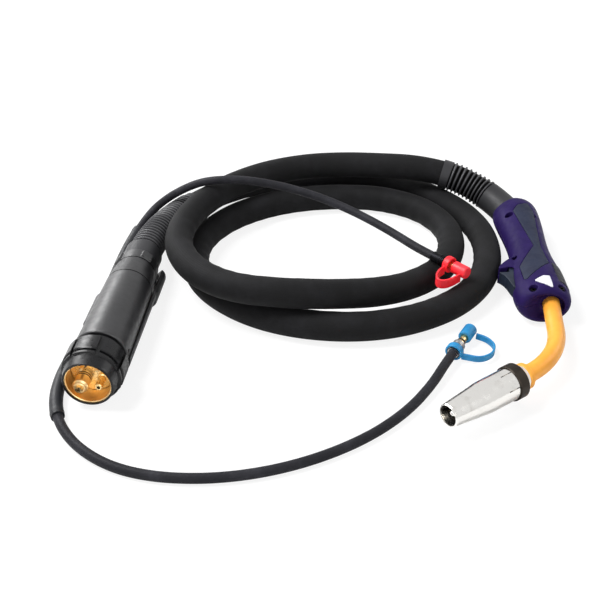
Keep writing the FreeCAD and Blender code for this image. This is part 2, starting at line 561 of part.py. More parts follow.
def make_trigger():
    """The trigger on its pin, with the switch and the spring behind it."""
    lift = VALUE["handle_lift"]
    blade = plate("trigger_blade", TRIGGER_OUTLINE, "trigger_height",
                  Placement(Vector(0, 0, lift), Rotation()))
    pin_place = Placement(Vector(VALUE["trigger_pin_x"], VALUE["trigger_pin_y"],
                                 lift - VALUE["trigger_pin_length"] / 2), Rotation())
    hole = bar("trigger_bore", pin_place, "trigger_pin_radius + pin_play", "trigger_pin_length")
    keep(cut("trigger_drilled", blade, hole), "trigger")
    keep(bar("pin_of_trigger", pin_place, "trigger_pin_radius", "trigger_pin_length"), "trigger_pin")
    box = primitive("Part::Box", "switch_block",
                    Placement(Vector(VALUE["switch_x"], VALUE["switch_y"] - VALUE["switch_width"] / 2,
                                     lift - VALUE["switch_height"] / 2), Rotation()),
                    Length="switch_depth", Width="switch_width", Height="switch_height")
    across = Rotation(Vector(0, 1, 0), 90)
    bore = bar("switch_bore", Placement(Vector(VALUE["switch_x"] - 1, VALUE["switch_y"], lift), across),
               "plunger_radius + plunger_play", "plunger_hold + 1 + 4")
    tabs = primitive("Part::Box", "switch_tabs",
                     Placement(Vector(VALUE["switch_x"] + VALUE["switch_depth"], VALUE["switch_y"] - 7,
                                      lift - 2),
                               Rotation()), Length="3.5", Width="14", Height="0.6")
    keep(cut("switch_bored", fuse("switch_body", [box, tabs]), bore), "microswitch")
    keep(bar("plunger", Placement(Vector(VALUE["switch_x"] - VALUE["plunger_reach"], VALUE["switch_y"],
                                         lift), across),
             "plunger_radius", "plunger_reach + plunger_hold"), "switch_plunger")
    spring_from = Vector(31.4, VALUE["trigger_spring_y"], lift)
    keep(coil("spring_of_trigger", Placement(spring_from, across), VALUE["trigger_spring_radius"],
              VALUE["trigger_spring_wire"], VALUE["trigger_spring_turns"], 15.0), "trigger_spring")


def make_neck():
    """The neck tube, the tube inside it and the block that holds it in the handle."""
    for label, radius, bore in (("swan_neck", "neck_radius", "neck_bore"),
                                ("neck_inner_tube", "core_tube_radius", "core_tube_bore")):
        tube = swept(NECK_EDGES, VALUE[radius]).cut(swept(NECK_EDGES, VALUE[bore]))
        keep(loose(label + "_form", tube), label)
    depth = VALUE["clamp_y"] + VALUE["clamp_length"] - VALUE["neck_root_y"]
    place = frame_at(NECK_ROOT - NECK_OUT * depth, NECK_OUT)
    corners = [("%sclamp_width / 2" % across, "%sclamp_height / 2" % up)
               for across, up in (("-", "-"), ("", "-"), ("", ""), ("-", ""))]
    block = plate("clamp_block", corners, "clamp_length", place, False)
    keep(cut("clamp_bored", block, bar("clamp_bore", place, "neck_radius", "clamp_length")),
         "neck_clamp_block")


def make_nozzle():
    """The gas nozzle with its spring band, and the pieces that it covers."""
    place = NOZZLE_PLACE
    keep(turned("flange", [
        ("neck_radius", "-collar_hub_length"), ("collar_hub_radius", "-collar_hub_length"),
        ("collar_hub_radius", "-1.2"), ("collar_radius - 0.6", "-1.2"), ("collar_radius", "-0.6"),
        ("collar_radius", "collar_width - 0.6"), ("collar_radius - 0.6", "collar_width"),
        ("core_tube_radius + 0.3", "collar_width"), ("core_tube_radius + 0.3", "0"), ("neck_radius", "0")],
        place), "neck_flange")
    keep(turned("seat", [
        ("holder_radius + 0.2", "collar_width"), ("seat_face_radius", "collar_width"),
        ("seat_face_radius", "nozzle_start - 1.2"), ("seat_radius", "nozzle_start + 0.4"),
        ("seat_radius", "seat_length + collar_width"), ("seat_bore", "seat_length + collar_width"),
        ("seat_bore", "collar_width + 3"), ("holder_radius + 0.2", "collar_width + 3")], place),
        "nozzle_seat")
    nozzle = turned("nozzle_shell", [
        ("nozzle_bore", "nozzle_start + 0.6"), ("nozzle_bore + 0.5", "nozzle_start"),
        ("nozzle_radius - 0.4", "nozzle_start"),
        ("nozzle_radius", "nozzle_start + 0.5"), ("nozzle_radius", "nozzle_straight_end"),
        ("nozzle_radius - 0.35", "nozzle_straight_end + 5"), ("nozzle_radius - 1.1",
                                                              "nozzle_straight_end + 11"),
        ("nozzle_tip_radius + 0.5", "nozzle_end - 7"), ("nozzle_tip_radius", "nozzle_end - 1"),
        ("nozzle_tip_radius - 0.6", "nozzle_end"), ("nozzle_mouth_radius + 0.2", "nozzle_end"),
        ("nozzle_mouth_radius", "nozzle_end - 0.8"), ("nozzle_mouth_radius", "nozzle_end - 7"),
        ("nozzle_bore", "nozzle_straight_end + 4")], place)
    slotted(nozzle, [("-nozzle_slot_width / 2", "0"), ("nozzle_slot_width / 2", "0"),
                     ("nozzle_slot_width / 2", "nozzle_slot_end"), ("-nozzle_slot_width / 2",
                                                                    "nozzle_slot_end")],
            "XZ_Plane", "nozzle_radius * 2", "nozzle_slots")
    keep(nozzle, "gas_nozzle")
    band = turned("band", [
        ("nozzle_radius + fit_gap", "band_start"), ("band_radius - 0.5", "band_start"),
        ("band_radius", "band_start + 0.5"),
        ("band_radius", "band_start + band_width - 0.5"), ("band_radius - 0.5", "band_start + band_width"),
        ("nozzle_radius + fit_gap", "band_start + band_width")], place)
    slotted(band, [("-0.8", "0"), ("0.8", "0"), ("0.8", "band_start + band_width + 1"),
                   ("-0.8", "band_start + band_width + 1")],
            "XZ_Plane", "band_radius * 2", "1")
    keep(band, "nozzle_spring_band")
    diffuser = turned("diffuser", [
        ("holder_radius + fit_gap", "collar_width + 3.2"), ("diffuser_radius", "collar_width + 3.2"),
        ("diffuser_radius", "seat_length + collar_width"), ("diffuser_radius - 1",
                                                            "seat_length + collar_width + 1"),
        ("diffuser_radius - 1", "diffuser_end - 1"), ("diffuser_radius - 2", "diffuser_end"),
        ("holder_radius + 1.6", "diffuser_end"), ("holder_radius + 1.6", "collar_width + 12"),
        ("holder_radius + fit_gap", "collar_width + 10")], place)
    hole = diffuser.newObject("PartDesign::Pocket", "diffuser_hole")
    mark = diffuser.newObject("Sketcher::SketchObject", "diffuser_hole_mark")
    mark.AttachmentSupport = [(origin_item(diffuser, "XZ_Plane"), "")]
    mark.MapMode = "FlatFace"
    mark.addGeometry(Part.Circle(Vector(0, 34, 0), Vector(0, 0, 1), 1.1), False)
    mark.addConstraint(Sketcher.Constraint("PointOnObject", 0, 3, -2))
    mark.addConstraint(Sketcher.Constraint("DistanceY", -1, 1, 0, 3, 34.0))
    mark.setExpression("Constraints[1]", bound("diffuser_end - 6"))
    mark.addConstraint(Sketcher.Constraint("Radius", 0, 1.1))
    mark.setExpression("Constraints[2]", bound("diffuser_hole_radius"))
    hole.Profile = mark
    hole.setExpression("Length", bound("diffuser_radius * 2"))
    hole.Reversed = True
    ring = diffuser.newObject("PartDesign::PolarPattern", "diffuser_hole_ring")
    ring.Originals = [hole]
    ring.Axis = (origin_item(diffuser, "Z_Axis"), [""])
    ring.Angle = 360
    ring.setExpression("Occurrences", bound("diffuser_holes"))
    diffuser.Tip = ring
    keep(diffuser, "gas_diffuser")
    keep(turned("holder", [
        ("core_tube_bore", "0.2"), ("holder_radius", "0.2"), ("holder_radius", "holder_end - 0.6"),
        ("holder_radius - 0.6", "holder_end"), ("tip_thread_radius", "holder_end"),
        ("tip_thread_radius", "holder_end - 10"), ("core_tube_bore", "holder_end - 10")], place),
        "tip_holder")
    keep(turned("tip", [
        ("tip_bore", "holder_end - 9.5"), ("tip_thread_radius", "holder_end - 9.5"),
        ("tip_thread_radius", "holder_end"),
        ("tip_radius", "holder_end"), ("tip_radius", "tip_end - 6"), ("tip_nose_radius", "tip_end - 0.6"),
        ("tip_nose_radius - 0.5", "tip_end"), ("tip_bore", "tip_end")], place), "contact_tip")


def ribs(start, end, count, root, crest):
    """Rings for ribs: a quarter of each pitch climbs, a quarter is flat, and so down again."""
    pitch = (end - start) / count
    rings = []
    for k in range(int(count)):
        low = start + k * pitch
        rings += [(low + 0.12 * pitch, root), (low + 0.3 * pitch, crest), (low + 0.62 * pitch, crest),
                  (low + 0.8 * pitch, root)]
    return rings


def make_hose():
    """The sleeve, the conduit inside it and a ribbed boot at each end."""
    keep(loose("sleeve", swept(HOSE_EDGES, VALUE["hose_radius"]).cut(swept(HOSE_EDGES, VALUE["hose_bore"]))),
         "hose_sleeve")
    keep(loose("conduit", swept(HOSE_EDGES, VALUE["conduit_radius"]).cut(swept(HOSE_EDGES,
                                                                               VALUE["conduit_bore"]))),
         "wire_conduit")
    grommets = []
    total = sum(edge.Length for edge in HOSE_EDGES)
    for end, along in (("front", 1), ("rear", total - 1 - VALUE["grommet_length"])):
        (point, way), = stations(HOSE_EDGES, [along])
        grommets.append(cut("%s_grommet" % end,
                            bar("%s_grommet_disc" % end, frame_at(point, way), "hose_bore - fit_gap",
                                "grommet_length"),
                            bar("%s_grommet_hole" % end, frame_at(point - way, way),
                                "conduit_radius + fit_gap",
                                "grommet_length + 2")))
    keep(fuse("grommet_pair", grommets), "conduit_grommets")
    bore = loose("boot_bore", swept(HOSE_EDGES, VALUE["hose_radius"] + VALUE["boot_gap"]))
    collar = VALUE["boot_collar_radius"]
    cuff_start = VALUE["boot_end"] - VALUE["boot_cuff_length"]
    rings = [(VALUE["boot_start"] + 0.4, collar), (VALUE["boot_collar_end"] - 1, collar)]
    rings += ribs(VALUE["boot_collar_end"], cuff_start, VALUE["boot_ribs"], VALUE["boot_root"],
                  VALUE["boot_crest"])
    rings += [(cuff_start + 0.6, VALUE["boot_cuff_radius"]), (VALUE["boot_end"] - 0.6,
                                                              VALUE["boot_cuff_radius"]),
              (VALUE["boot_end"], VALUE["boot_cuff_radius"] - 0.6)]
    keep(cut("boot_of_handle", loose("boot_form", ruled(HOSE_EDGES, rings)), bore), "handle_boot")

    # The rear boot is measured back from the far end of the hose
    (far_point, _), = stations(HOSE_EDGES, [total])
    along = CONNECTOR_PLACE.inverse().multVec(far_point).z
    end = total - (VALUE["rear_boot_start"] - along)
    cuff = end - (VALUE["rear_boot_cuff_end"] - VALUE["rear_boot_start"])
    tip = end - VALUE["rear_boot_length"]
    rings = [(tip, VALUE["rear_boot_tip"] - 0.4), (tip + 0.5, VALUE["rear_boot_tip"]),
             (tip + 7, VALUE["rear_boot_tip"])]
    rings += ribs(tip + 8, cuff - 4, VALUE["rear_boot_ribs"], VALUE["rear_boot_root"],
                  VALUE["rear_boot_crest"] - 0.6)
    rings += [(cuff - 2, VALUE["rear_boot_root"] + 1), (cuff, VALUE["rear_boot_cuff_radius"] - 0.8),
              (cuff + 0.8, VALUE["rear_boot_cuff_radius"]), (end, VALUE["rear_boot_cuff_radius"])]
    keep(cut("boot_of_connector", loose("rear_boot_form", ruled(HOSE_EDGES, rings)), bore), "machine_boot")


# Connector

CONNECTOR_PLACE = Placement(Vector(VALUE["connector_x"], VALUE["connector_y"], VALUE["connector_lift"]),
                            Rotation(Vector(0, 0, 1), -VALUE["connector_turn"]) * Rotation(Vector(1, 0, 0),
                                                                                           -90))


def in_connector(x, down, along):
    """A placement inside the connector: to the right, down and back from the nut's face."""
    return CONNECTOR_PLACE * Placement(Vector(x, down, along), Rotation())


def make_connector():
    """The union nut, the block with its spigot and pins, and the housing behind."""
    place = CONNECTOR_PLACE
    nut = turned("nut_body", [
        ("insert_radius", "0.8"), ("insert_radius - 0.9", "0"), ("nut_lip_radius - 0.3", "0"),
        ("nut_lip_radius", "0.5"),
        ("nut_body_radius", "nut_lip_length"), ("nut_shoulder_radius", "nut_lip_length + 0.6"),
        ("nut_shoulder_radius", "nut_shoulder_end"), ("nut_body_radius + 0.4", "nut_shoulder_end + 0.6"),
        ("nut_body_radius + 0.4", "nut_pad_start - 0.4"), ("nut_pad_radius - 0.5", "nut_pad_start"),
        ("nut_pad_radius", "nut_pad_start + 1"), ("nut_pad_radius", "nut_length - 1.4"),
        ("nut_pad_radius - 1.2", "nut_length"), ("nut_hub_radius", "nut_length"),
        ("nut_hub_radius", "nut_hub_end"), ("block_radius + run_gap", "nut_hub_end"),
        ("block_radius + run_gap", "nut_step"), ("insert_radius", "nut_step")],
        place * Placement(Vector(), Rotation(Vector(0, 0, 1), VALUE["nut_turn"])))
    slotted(nut, [("nut_pad_radius - nut_slot_depth", "-nut_slot_width / 2"),
                  ("nut_pad_radius + 2", "-nut_slot_width / 2 - 0.4"), ("nut_pad_radius + 2",
                                                                        "nut_slot_width / 2 + 0.4"),
                  ("nut_pad_radius - nut_slot_depth", "nut_slot_width / 2")],
            "XY_Plane", "nut_length + 2", "nut_slots")
    keep(nut, "connector_nut")
    keep(turned("insert", [
        ("thread_radius + 0.5", "1"), ("insert_radius", "1"), ("insert_radius", "insert_end"),
        ("thread_radius", "insert_end"), ("thread_radius", "1.6")], place), "nut_thread_insert")
    block = turned("block_body", [
        ("0", "flange_start"), ("flange_radius", "flange_start"), ("flange_radius", "flange_end"),
        ("block_radius", "flange_end"), ("block_radius", "block_end"), ("0", "block_end")], place)
    spigot_place = in_connector(VALUE["spigot_x"], VALUE["spigot_drop"], 0)
    nipple_place = in_connector(VALUE["nipple_x"], VALUE["nipple_drop"], 0)
    contact_places = {side: in_connector(way * VALUE["contact_x"], -VALUE["contact_rise"], 0)
                      for side, way in (("left", -1), ("right", 1))}
    holes = [bar("spigot_hole", spigot_place, "spigot_tail_radius", "80"),
             bar("nipple_hole", nipple_place, "nipple_radius - 0.5", "80")]
    for side, spot in contact_places.items():
        holes.append(bar("bush_hole_" + side, spot, "bush_radius", "bush_end"))
    keep(cut("block_drilled", block, fuse("block_holes", holes)), "connector_block")
    keep(turned("clip", [
        ("block_radius", "nut_clip_start"), ("nut_clip_radius", "nut_clip_start"),
        ("nut_clip_radius", "nut_clip_start + nut_clip_width"), ("block_radius",
                                                                 "nut_clip_start + nut_clip_width")],
        place), "nut_retaining_ring")

    groove = ("spigot_radius - seal_wire * 1.4", "seal_wire")
    profile = [("spigot_bore", "spigot_tip"), ("spigot_nose_radius - 0.8", "spigot_tip"),
               ("spigot_nose_radius", "spigot_tip + 0.8"),
               ("spigot_nose_radius + 0.3", "spigot_tip + spigot_nose_length - 1.6"),
               ("spigot_radius", "spigot_tip + spigot_nose_length")]
    for seal in (13.2, 15.6):
        profile += [("spigot_radius", "%s - %s" % (seal, groove[1])), (groove[0],
                                                                       "%s - %s" % (seal, groove[1])),
                    (groove[0], "%s + %s" % (seal, groove[1])), ("spigot_radius",
                                                                 "%s + %s" % (seal, groove[1]))]
    profile += [("spigot_radius", "flange_start"), ("spigot_tail_radius", "flange_start"),
                ("spigot_tail_radius", "block_end + 6"), ("spigot_bore", "block_end + 6")]
    keep(turned("spigot", profile, spigot_place), "main_spigot")
    seals = []
    for k, seal in enumerate((13.2, 15.6)):
        ring = primitive("Part::Torus", "spigot_seal_%d" % k, spigot_place * Placement(Vector(0, 0, seal),
                                                                                       Rotation()),
                         Radius1="spigot_radius - seal_wire * 0.6", Radius2="seal_wire * 0.6")
        seals.append(ring)
    keep(fuse("spigot_seals", seals), "spigot_seals")
    nut_outline = [("liner_nut_radius * %.4f" % math.cos(math.radians(60 * k)),
                    "liner_nut_radius * %.4f" % math.sin(math.radians(60 * k))) for k in range(6)]
    hexagon = plate("liner_hexagon", nut_outline, "liner_nut_length",
                    spigot_place * Placement(Vector(0, 0, VALUE["spigot_tip"] - VALUE["liner_nut_length"]),
                                             Rotation()), False)
    keep(cut("liner_nut_bored", hexagon, bar("liner_nut_bore", spigot_place * Placement(Vector(0, 0, -9),
                                                                                        Rotation()),
                                             "spigot_bore - 0.4", "18")), "liner_nut")
    keep(turned("nipple", [
        ("nipple_bore", "nipple_tip"), ("nipple_radius - 0.6", "nipple_tip"),
        ("nipple_radius", "nipple_tip + 0.7"),
        ("nipple_radius", "flange_start - 2"), ("nipple_radius + 0.9", "flange_start - 1.6"),
        ("nipple_radius + 0.9", "flange_start"), ("nipple_radius - 0.5", "flange_start"),
        ("nipple_radius - 0.5", "block_end + 4"), ("nipple_bore", "block_end + 4")], nipple_place),
        "gas_nipple")
    bushes = []
    for side, spot in contact_places.items():
        bushes.append(turned("bush_" + side, [
            ("contact_radius + run_gap", "flange_start - 0.8"), ("bush_radius", "flange_start - 0.8"),
            ("bush_radius", "bush_end"), ("0", "bush_end"), ("0", "bush_end - 1.5"),
            ("bush_bore", "bush_end - 1.5"),
            ("bush_bore", "flange_start + 0.8"), ("contact_radius + run_gap", "flange_start + 0.8")], spot))
        keep(turned("contact_" + side, [
            ("0", "contact_tip"), ("contact_radius - 0.7", "contact_tip"),
            ("contact_radius", "contact_tip + 1"),
            ("contact_radius", "flange_start + 1"), ("contact_shoulder_radius", "flange_start + 1"),
            ("contact_shoulder_radius", "flange_start + 4"), ("contact_radius - 0.3", "flange_start + 4"),
            ("contact_radius - 0.3", "flange_start + 8"), ("0", "flange_start + 8")], spot),
            "contact_pin_" + side)
        keep(coil("contact_coil_" + side, spot * Placement(Vector(0, 0, VALUE["flange_start"] + 4.4),
                                                           Rotation()),
                  VALUE["contact_spring_radius"], VALUE["contact_spring_wire"],
                  VALUE["contact_spring_turns"], 12.7),
             "contact_spring_" + side)
    keep(fuse("bushes", bushes), "contact_pin_bushes")

    # The housing grips the block behind the nut, held by two screws
    housing = turned("housing", [
        ("block_radius", "housing_start"), ("housing_front_radius - 1.2", "housing_start"),
        ("housing_front_radius", "housing_start + 1.2"),
        ("housing_radius", "housing_end"), ("housing_bore", "housing_end"),
        ("housing_bore", "housing_start + housing_land + 3"), ("block_radius",
                                                               "housing_start + housing_land")], place)
    side_places = [in_connector(way * VALUE["housing_front_radius"], 0, VALUE["housing_start"] + 5)
                   * Placement(Vector(), Rotation(Vector(0, 1, 0), way * -90)) for way in (-1, 1)]
    screw_holes = []
    screws = []
    for k, spot in enumerate(side_places):
        screw_holes.append(bar("housing_screw_hole_%d" % k, spot * Placement(Vector(0, 0, -1), Rotation()),
                               "housing_screw_radius", "10"))
        screw_holes.append(bar("housing_screw_sink_%d" % k, spot * Placement(Vector(0, 0, -1), Rotation()),
                               "housing_screw_head + 0.2", "2.8"))
        screws.append(turned("housing_screw_%d" % k, [
            ("0", "0.2"), ("housing_screw_head - 0.6", "0.2"), ("housing_screw_head", "0.6"),
            ("housing_screw_head", "1.8"),
            ("housing_screw_radius", "1.8"), ("housing_screw_radius", "7.6"), ("0", "7.6")], spot))
    keep(cut("housing_drilled", housing, fuse("housing_screw_holes", screw_holes)), "connector_housing")
    keep(fuse("housing_screw_pair", screws), "housing_screws")
    keep(turned("rear_collar", [
        ("housing_bore - 3", "housing_end - 6"), ("housing_bore", "housing_end - 6"),
        ("housing_bore", "housing_end + collar_gap"),
        ("housing_radius - 0.3", "housing_end + collar_gap"), ("housing_radius",
                                                               "housing_end + collar_gap + 0.3"),
        ("taper_radius", "taper_end"), ("taper_radius - 3", "taper_end"),
        ("housing_bore - 3", "taper_end - 8")],
        place), "housing_rear_collar")
    latch = turned("latch", [
        ("taper_radius - 3", "taper_end"), ("latch_radius - 0.8", "taper_end"),
        ("latch_radius - 0.8", "latch_end"),
        ("taper_radius - 3", "latch_end")], place)
    tabs = []
    half = VALUE["latch_tab_width"] / 2
    for k in range(int(VALUE["latch_tabs"])):
        tab = primitive("Part::Box", "latch_tab_%d" % k,
                        place * Placement(Vector(0, 0, VALUE["taper_end"] + 2),
                                          Rotation(Vector(0, 0, 1), 90 * k + 35))
                        * Placement(Vector(VALUE["taper_radius"] - 2, -half, 0), Rotation()),
                        Length="2.8 + latch_tab_rise", Width="latch_tab_width", Height="latch_tab_length")
        tabs.append(tab)
    keep(fuse("latch_ring", [latch] + tabs), "boot_latch_ring")


def make_cowl():
    """A low cowl under the housing with a mouth for each water hose."""
    down = VALUE["connector_lift"] - VALUE["cowl_lift"]
    first = VALUE["cowl_start"]
    far = VALUE["cowl_far_side"]
    pieces = [bar("cowl_near_rod", in_connector(-VALUE["cowl_side"], down, first), "cowl_radius",
                  "cowl_end - cowl_start"),
              bar("cowl_far_rod", in_connector(far, down, VALUE["cowl_far_start"]), "cowl_far_radius",
                  "cowl_far_end - cowl_far_start")]
    for end in ("start", "end"):
        pieces.append(primitive("Part::Sphere", "cowl_far_round_" + end,
                                in_connector(far, down, VALUE["cowl_far_" + end]), Radius="cowl_far_radius"))
    pieces.append(primitive("Part::Box", "cowl_web",
                            in_connector(-VALUE["cowl_side"],
                                         VALUE["connector_lift"] - 1 - VALUE["cowl_web"], first + 4),
                            Length="cowl_side", Width="cowl_web", Height="cowl_end - cowl_start - 8"))
    pieces.append(primitive("Part::Box", "cowl_side_web",
                            in_connector(-VALUE["cowl_side"], down - VALUE["cowl_radius"], first + 4),
                            Length="16", Width="cowl_radius * 2", Height="cowl_end - cowl_start - 8"))
    # The belly widens the housing's lower half
    half = [bar("belly_%d" % way, in_connector(way * VALUE["belly_side"], VALUE["belly_drop"],
                                               VALUE["belly_start"]),
                "housing_radius", "belly_end - belly_start") for way in (-1, 1)]
    low = primitive("Part::Box", "belly_low", in_connector(-40, VALUE["belly_top"], VALUE["belly_start"]),
                    Length="80", Width="40", Height="belly_end - belly_start")
    pieces.append(common("belly", [fuse("belly_bars", half), low]))
    space = turned("housing_space", [
        ("0", "belly_start - 9"), ("housing_front_radius + 0.3", "belly_start - 9"),
        ("housing_front_radius + 0.3", "housing_start + 1.2"), ("housing_radius + 0.3", "housing_end"),
        ("housing_radius + 0.3", "cowl_far_end + 20"), ("0", "cowl_far_end + 20")], CONNECTOR_PLACE)
    tools = [space,
             loose("supply_space", swept(SUPPLY_EDGES[:3], VALUE["sheath_radius"] + 0.3)),
             loose("return_space", swept(RETURN_EDGES[:3], VALUE["sheath_radius"] + 0.3))]
    keep(cut("cowl", fuse("cowl_whole", pieces), fuse("cowl_tools", tools)), "hose_outlet_cowl")


def make_water_hose(name, edges, sheath_edges, ring_start, colour, route, lift):
    """A water hose with its sheath, crimped coupling, cap and cap strap."""
    radius = VALUE["water_radius"]
    keep(loose(name + "_tube", swept(edges, radius).cut(swept(edges, VALUE["water_bore"]))), name + "_hose")
    keep(loose(name + "_cover", swept(sheath_edges, VALUE["sheath_radius"]).cut(
        swept(sheath_edges, radius + VALUE["sheath_gap"]))), name + "_sheath")
    (point, way), = stations(edges, [sum(edge.Length for edge in edges)])
    place = frame_at(point, way)
    profile = [("water_radius", "ferrule_start"), ("ferrule_radius", "ferrule_start")]
    for k in range(3):
        low = "ferrule_end - %s" % (4.9 - 1.9 * k)
        profile += [("ferrule_radius", low), ("ridge_radius", low + " + 0.3"),
                    ("ridge_radius", low + " + 0.9"),
                    ("ferrule_radius", low + " + 1.2")]
    profile += [("ferrule_radius", "ferrule_end"), ("stub_radius", "ferrule_end"), ("stub_radius", "0.6"),
                ("water_radius", "0.6")]
    keep(turned(name + "_ferrule_body", profile, place), name + "_ferrule")
    keep(turned(name + "_stub", [
        ("stub_bore", "stub_tail"), ("stub_tail_radius", "stub_tail"), ("stub_tail_radius", "0.6"),
        ("stub_radius", "0.6"), ("stub_radius", "ferrule_end + 0.1"), ("stub_shoulder_radius",
                                                                       "ferrule_end + 0.1"),
        ("stub_shoulder_radius", "stub_shoulder_end"), ("stub_radius", "stub_shoulder_end"),
        ("stub_radius", "stub_seal_start"), ("stub_radius - 0.7", "stub_seal_start"),
        ("stub_radius - 0.7", "stub_seal_start + 1.8"), ("stub_radius", "stub_seal_start + 1.8"),
        ("stub_radius", "stub_end - 0.8"), ("stub_radius - 0.7", "stub_end"), ("stub_bore", "stub_end")],
        place),
        name + "_coupling_nipple")
    keep(primitive("Part::Torus", name + "_seal", place * Placement(Vector(0, 0,
                                                                           VALUE["stub_seal_start"] + 0.9),
                                                                           Rotation()),
                   Radius1="stub_radius + 0.15", Radius2="0.8"), name + "_coupling_seal")
    keep(turned(name + "_cap_body", [
        ("cap_bore", "cap_start"), ("cap_radius - 0.4", "cap_start"), ("cap_radius", "cap_start + 0.4"),
        ("cap_radius", "cap_start + cap_length - 1"), ("cap_radius - 1", "cap_start + cap_length"),
        ("0", "cap_start + cap_length"), ("0", "cap_floor"), ("cap_bore", "cap_floor")], place),
        colour + "_cap")
    ring = turned(name + "_ring", [
        ("ring_bore - 0.4", "%s + 0.4" % ring_start), ("ring_bore", ring_start),
        ("ring_radius - 0.5", ring_start),
        ("ring_radius", "%s + 0.5" % ring_start), ("ring_radius", "%s + ring_width - 0.5" % ring_start),
        ("ring_radius - 0.5", "%s + ring_width" % ring_start),
        ("ring_bore - 0.4", "%s + ring_width" % ring_start)], place)
    hole = bar(name + "_ring_hole", place * Placement(Vector(0, 0, -20), Rotation()), "ridge_radius + 0.3",
               "60")
    keep(strap(name + "_strap", route, lift, colour + "_strap_height", ring, hole), colour + "_cap_strap")


make_handle()
make_trigger()
make_neck()
make_nozzle()
make_hose()
make_connector()
make_cowl()
make_water_hose("supply", SUPPLY_EDGES, SUPPLY_EDGES[:9], "blue_ring_start", "blue", BLUE_STRAP,
                BLUE_STRAP_LIFT)
make_water_hose("return", RETURN_EDGES, RETURN_EDGES[:9], "red_ring_start", "red", RED_STRAP, RED_STRAP_LIFT)
doc.recompute()

for thing in doc.Objects:
    assert not {"Invalid", "Error"} & set(thing.State), thing.Name
for thing in nodes:
    assert not thing.Shape.isNull() and thing.Shape.isValid(), thing.Label
print("%d pieces" % len(nodes))
os.makedirs("parts", exist_ok=True)
for thing in nodes:
    thing.Shape.exportStep("parts/%s.step" % thing.Label)
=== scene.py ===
# %% [markdown]
# # A water-cooled welding torch on a bench
# The torch has a moulded handle, a bent neck, a long fabric-sleeved hose that lies in two loops, a machine
# connector and two thin water lines with caps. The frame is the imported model: every piece below is made in
# the same metres and the same axes, so nothing has to be fitted afterwards.

# %% Load the frame
import math

import bmesh
import bpy
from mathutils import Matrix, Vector, noise


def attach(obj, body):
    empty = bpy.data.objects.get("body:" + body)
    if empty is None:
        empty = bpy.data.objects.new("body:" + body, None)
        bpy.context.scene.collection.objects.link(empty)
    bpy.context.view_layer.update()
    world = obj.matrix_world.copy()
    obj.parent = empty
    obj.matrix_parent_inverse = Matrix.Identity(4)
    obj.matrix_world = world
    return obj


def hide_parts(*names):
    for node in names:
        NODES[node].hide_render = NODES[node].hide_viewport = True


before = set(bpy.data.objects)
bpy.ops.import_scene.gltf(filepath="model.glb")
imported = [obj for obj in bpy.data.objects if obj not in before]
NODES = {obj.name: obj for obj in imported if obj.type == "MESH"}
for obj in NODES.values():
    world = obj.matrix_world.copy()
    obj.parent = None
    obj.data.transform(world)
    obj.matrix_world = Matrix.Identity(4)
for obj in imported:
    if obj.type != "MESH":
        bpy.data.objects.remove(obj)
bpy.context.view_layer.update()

MM = 0.001

# %% [markdown]
# ## Camera and studio
# The photograph looks down at the torch from the front. The camera was placed by matching the ends of the
# handle, the nozzle and the connector, so its place is in real metres. The frame is a square, so the
# sensor is square too. The background is the colour of the floor and the sky as the camera sees them, and
# the lamps stay soft and plain so that black rubber keeps its shape.

# %% Camera
CAMERA_AT = Vector((-185.6, -786.5, 550.8)) * MM
CAMERA_AIM = Vector((-185.6, 30.1, 0.0)) * MM
LENS = 60.0
SENSOR = 36.0
camera_data = bpy.data.cameras.new("camera")
camera_data.lens = LENS
camera_data.sensor_width = SENSOR
camera_data.clip_start = 0.01
camera = bpy.data.objects.new("camera", camera_data)
bpy.context.scene.collection.objects.link(camera)
camera.location = CAMERA_AT
camera.rotation_euler = (CAMERA_AIM - CAMERA_AT).to_track_quat("-Z", "Y").to_euler()
bpy.context.scene.camera = camera
print("camera is %.2f m from its aim" % (CAMERA_AIM - CAMERA_AT).length)


# %% Colours and nodes
def linear(hex_colour):
    """An sRGB hex colour as the linear RGBA that shaders take."""
    parts = [int(hex_colour[k:k + 2], 16) / 255 for k in (1, 3, 5)]
    return tuple(c / 12.92 if c <= 0.04045 else ((c + 0.055) / 1.055) ** 2.4 for c in parts) + (1.0,)


def add(tree, kind, inputs=None, **settings):
    """Adds a node. An input is given a plain value, or another node's output to link to."""
    made = tree.nodes.new(kind)
    for name, value in settings.items():
        setattr(made, name, value)
    for key, value in (inputs or {}).items():
        if isinstance(value, bpy.types.NodeSocket):
            tree.links.new(value, made.inputs[key])
        else:
            made.inputs[key].default_value = value
    return made


# %% [markdown]
# The floor is matt white. The camera sees it lifted almost to white by a little emission, which keeps a
# trace of the object's shadow. Mirrors see the sky as white too, so polished metal gets its bright bands.

# %% Floor, sky and lamps
FLOOR_SIDE = 6.0
FLOOR_DROP = -0.0002
FLOOR_LIFT = 0.84
SKY_LIGHT = 0.2
SKY_IN_MIRRORS = 0.7


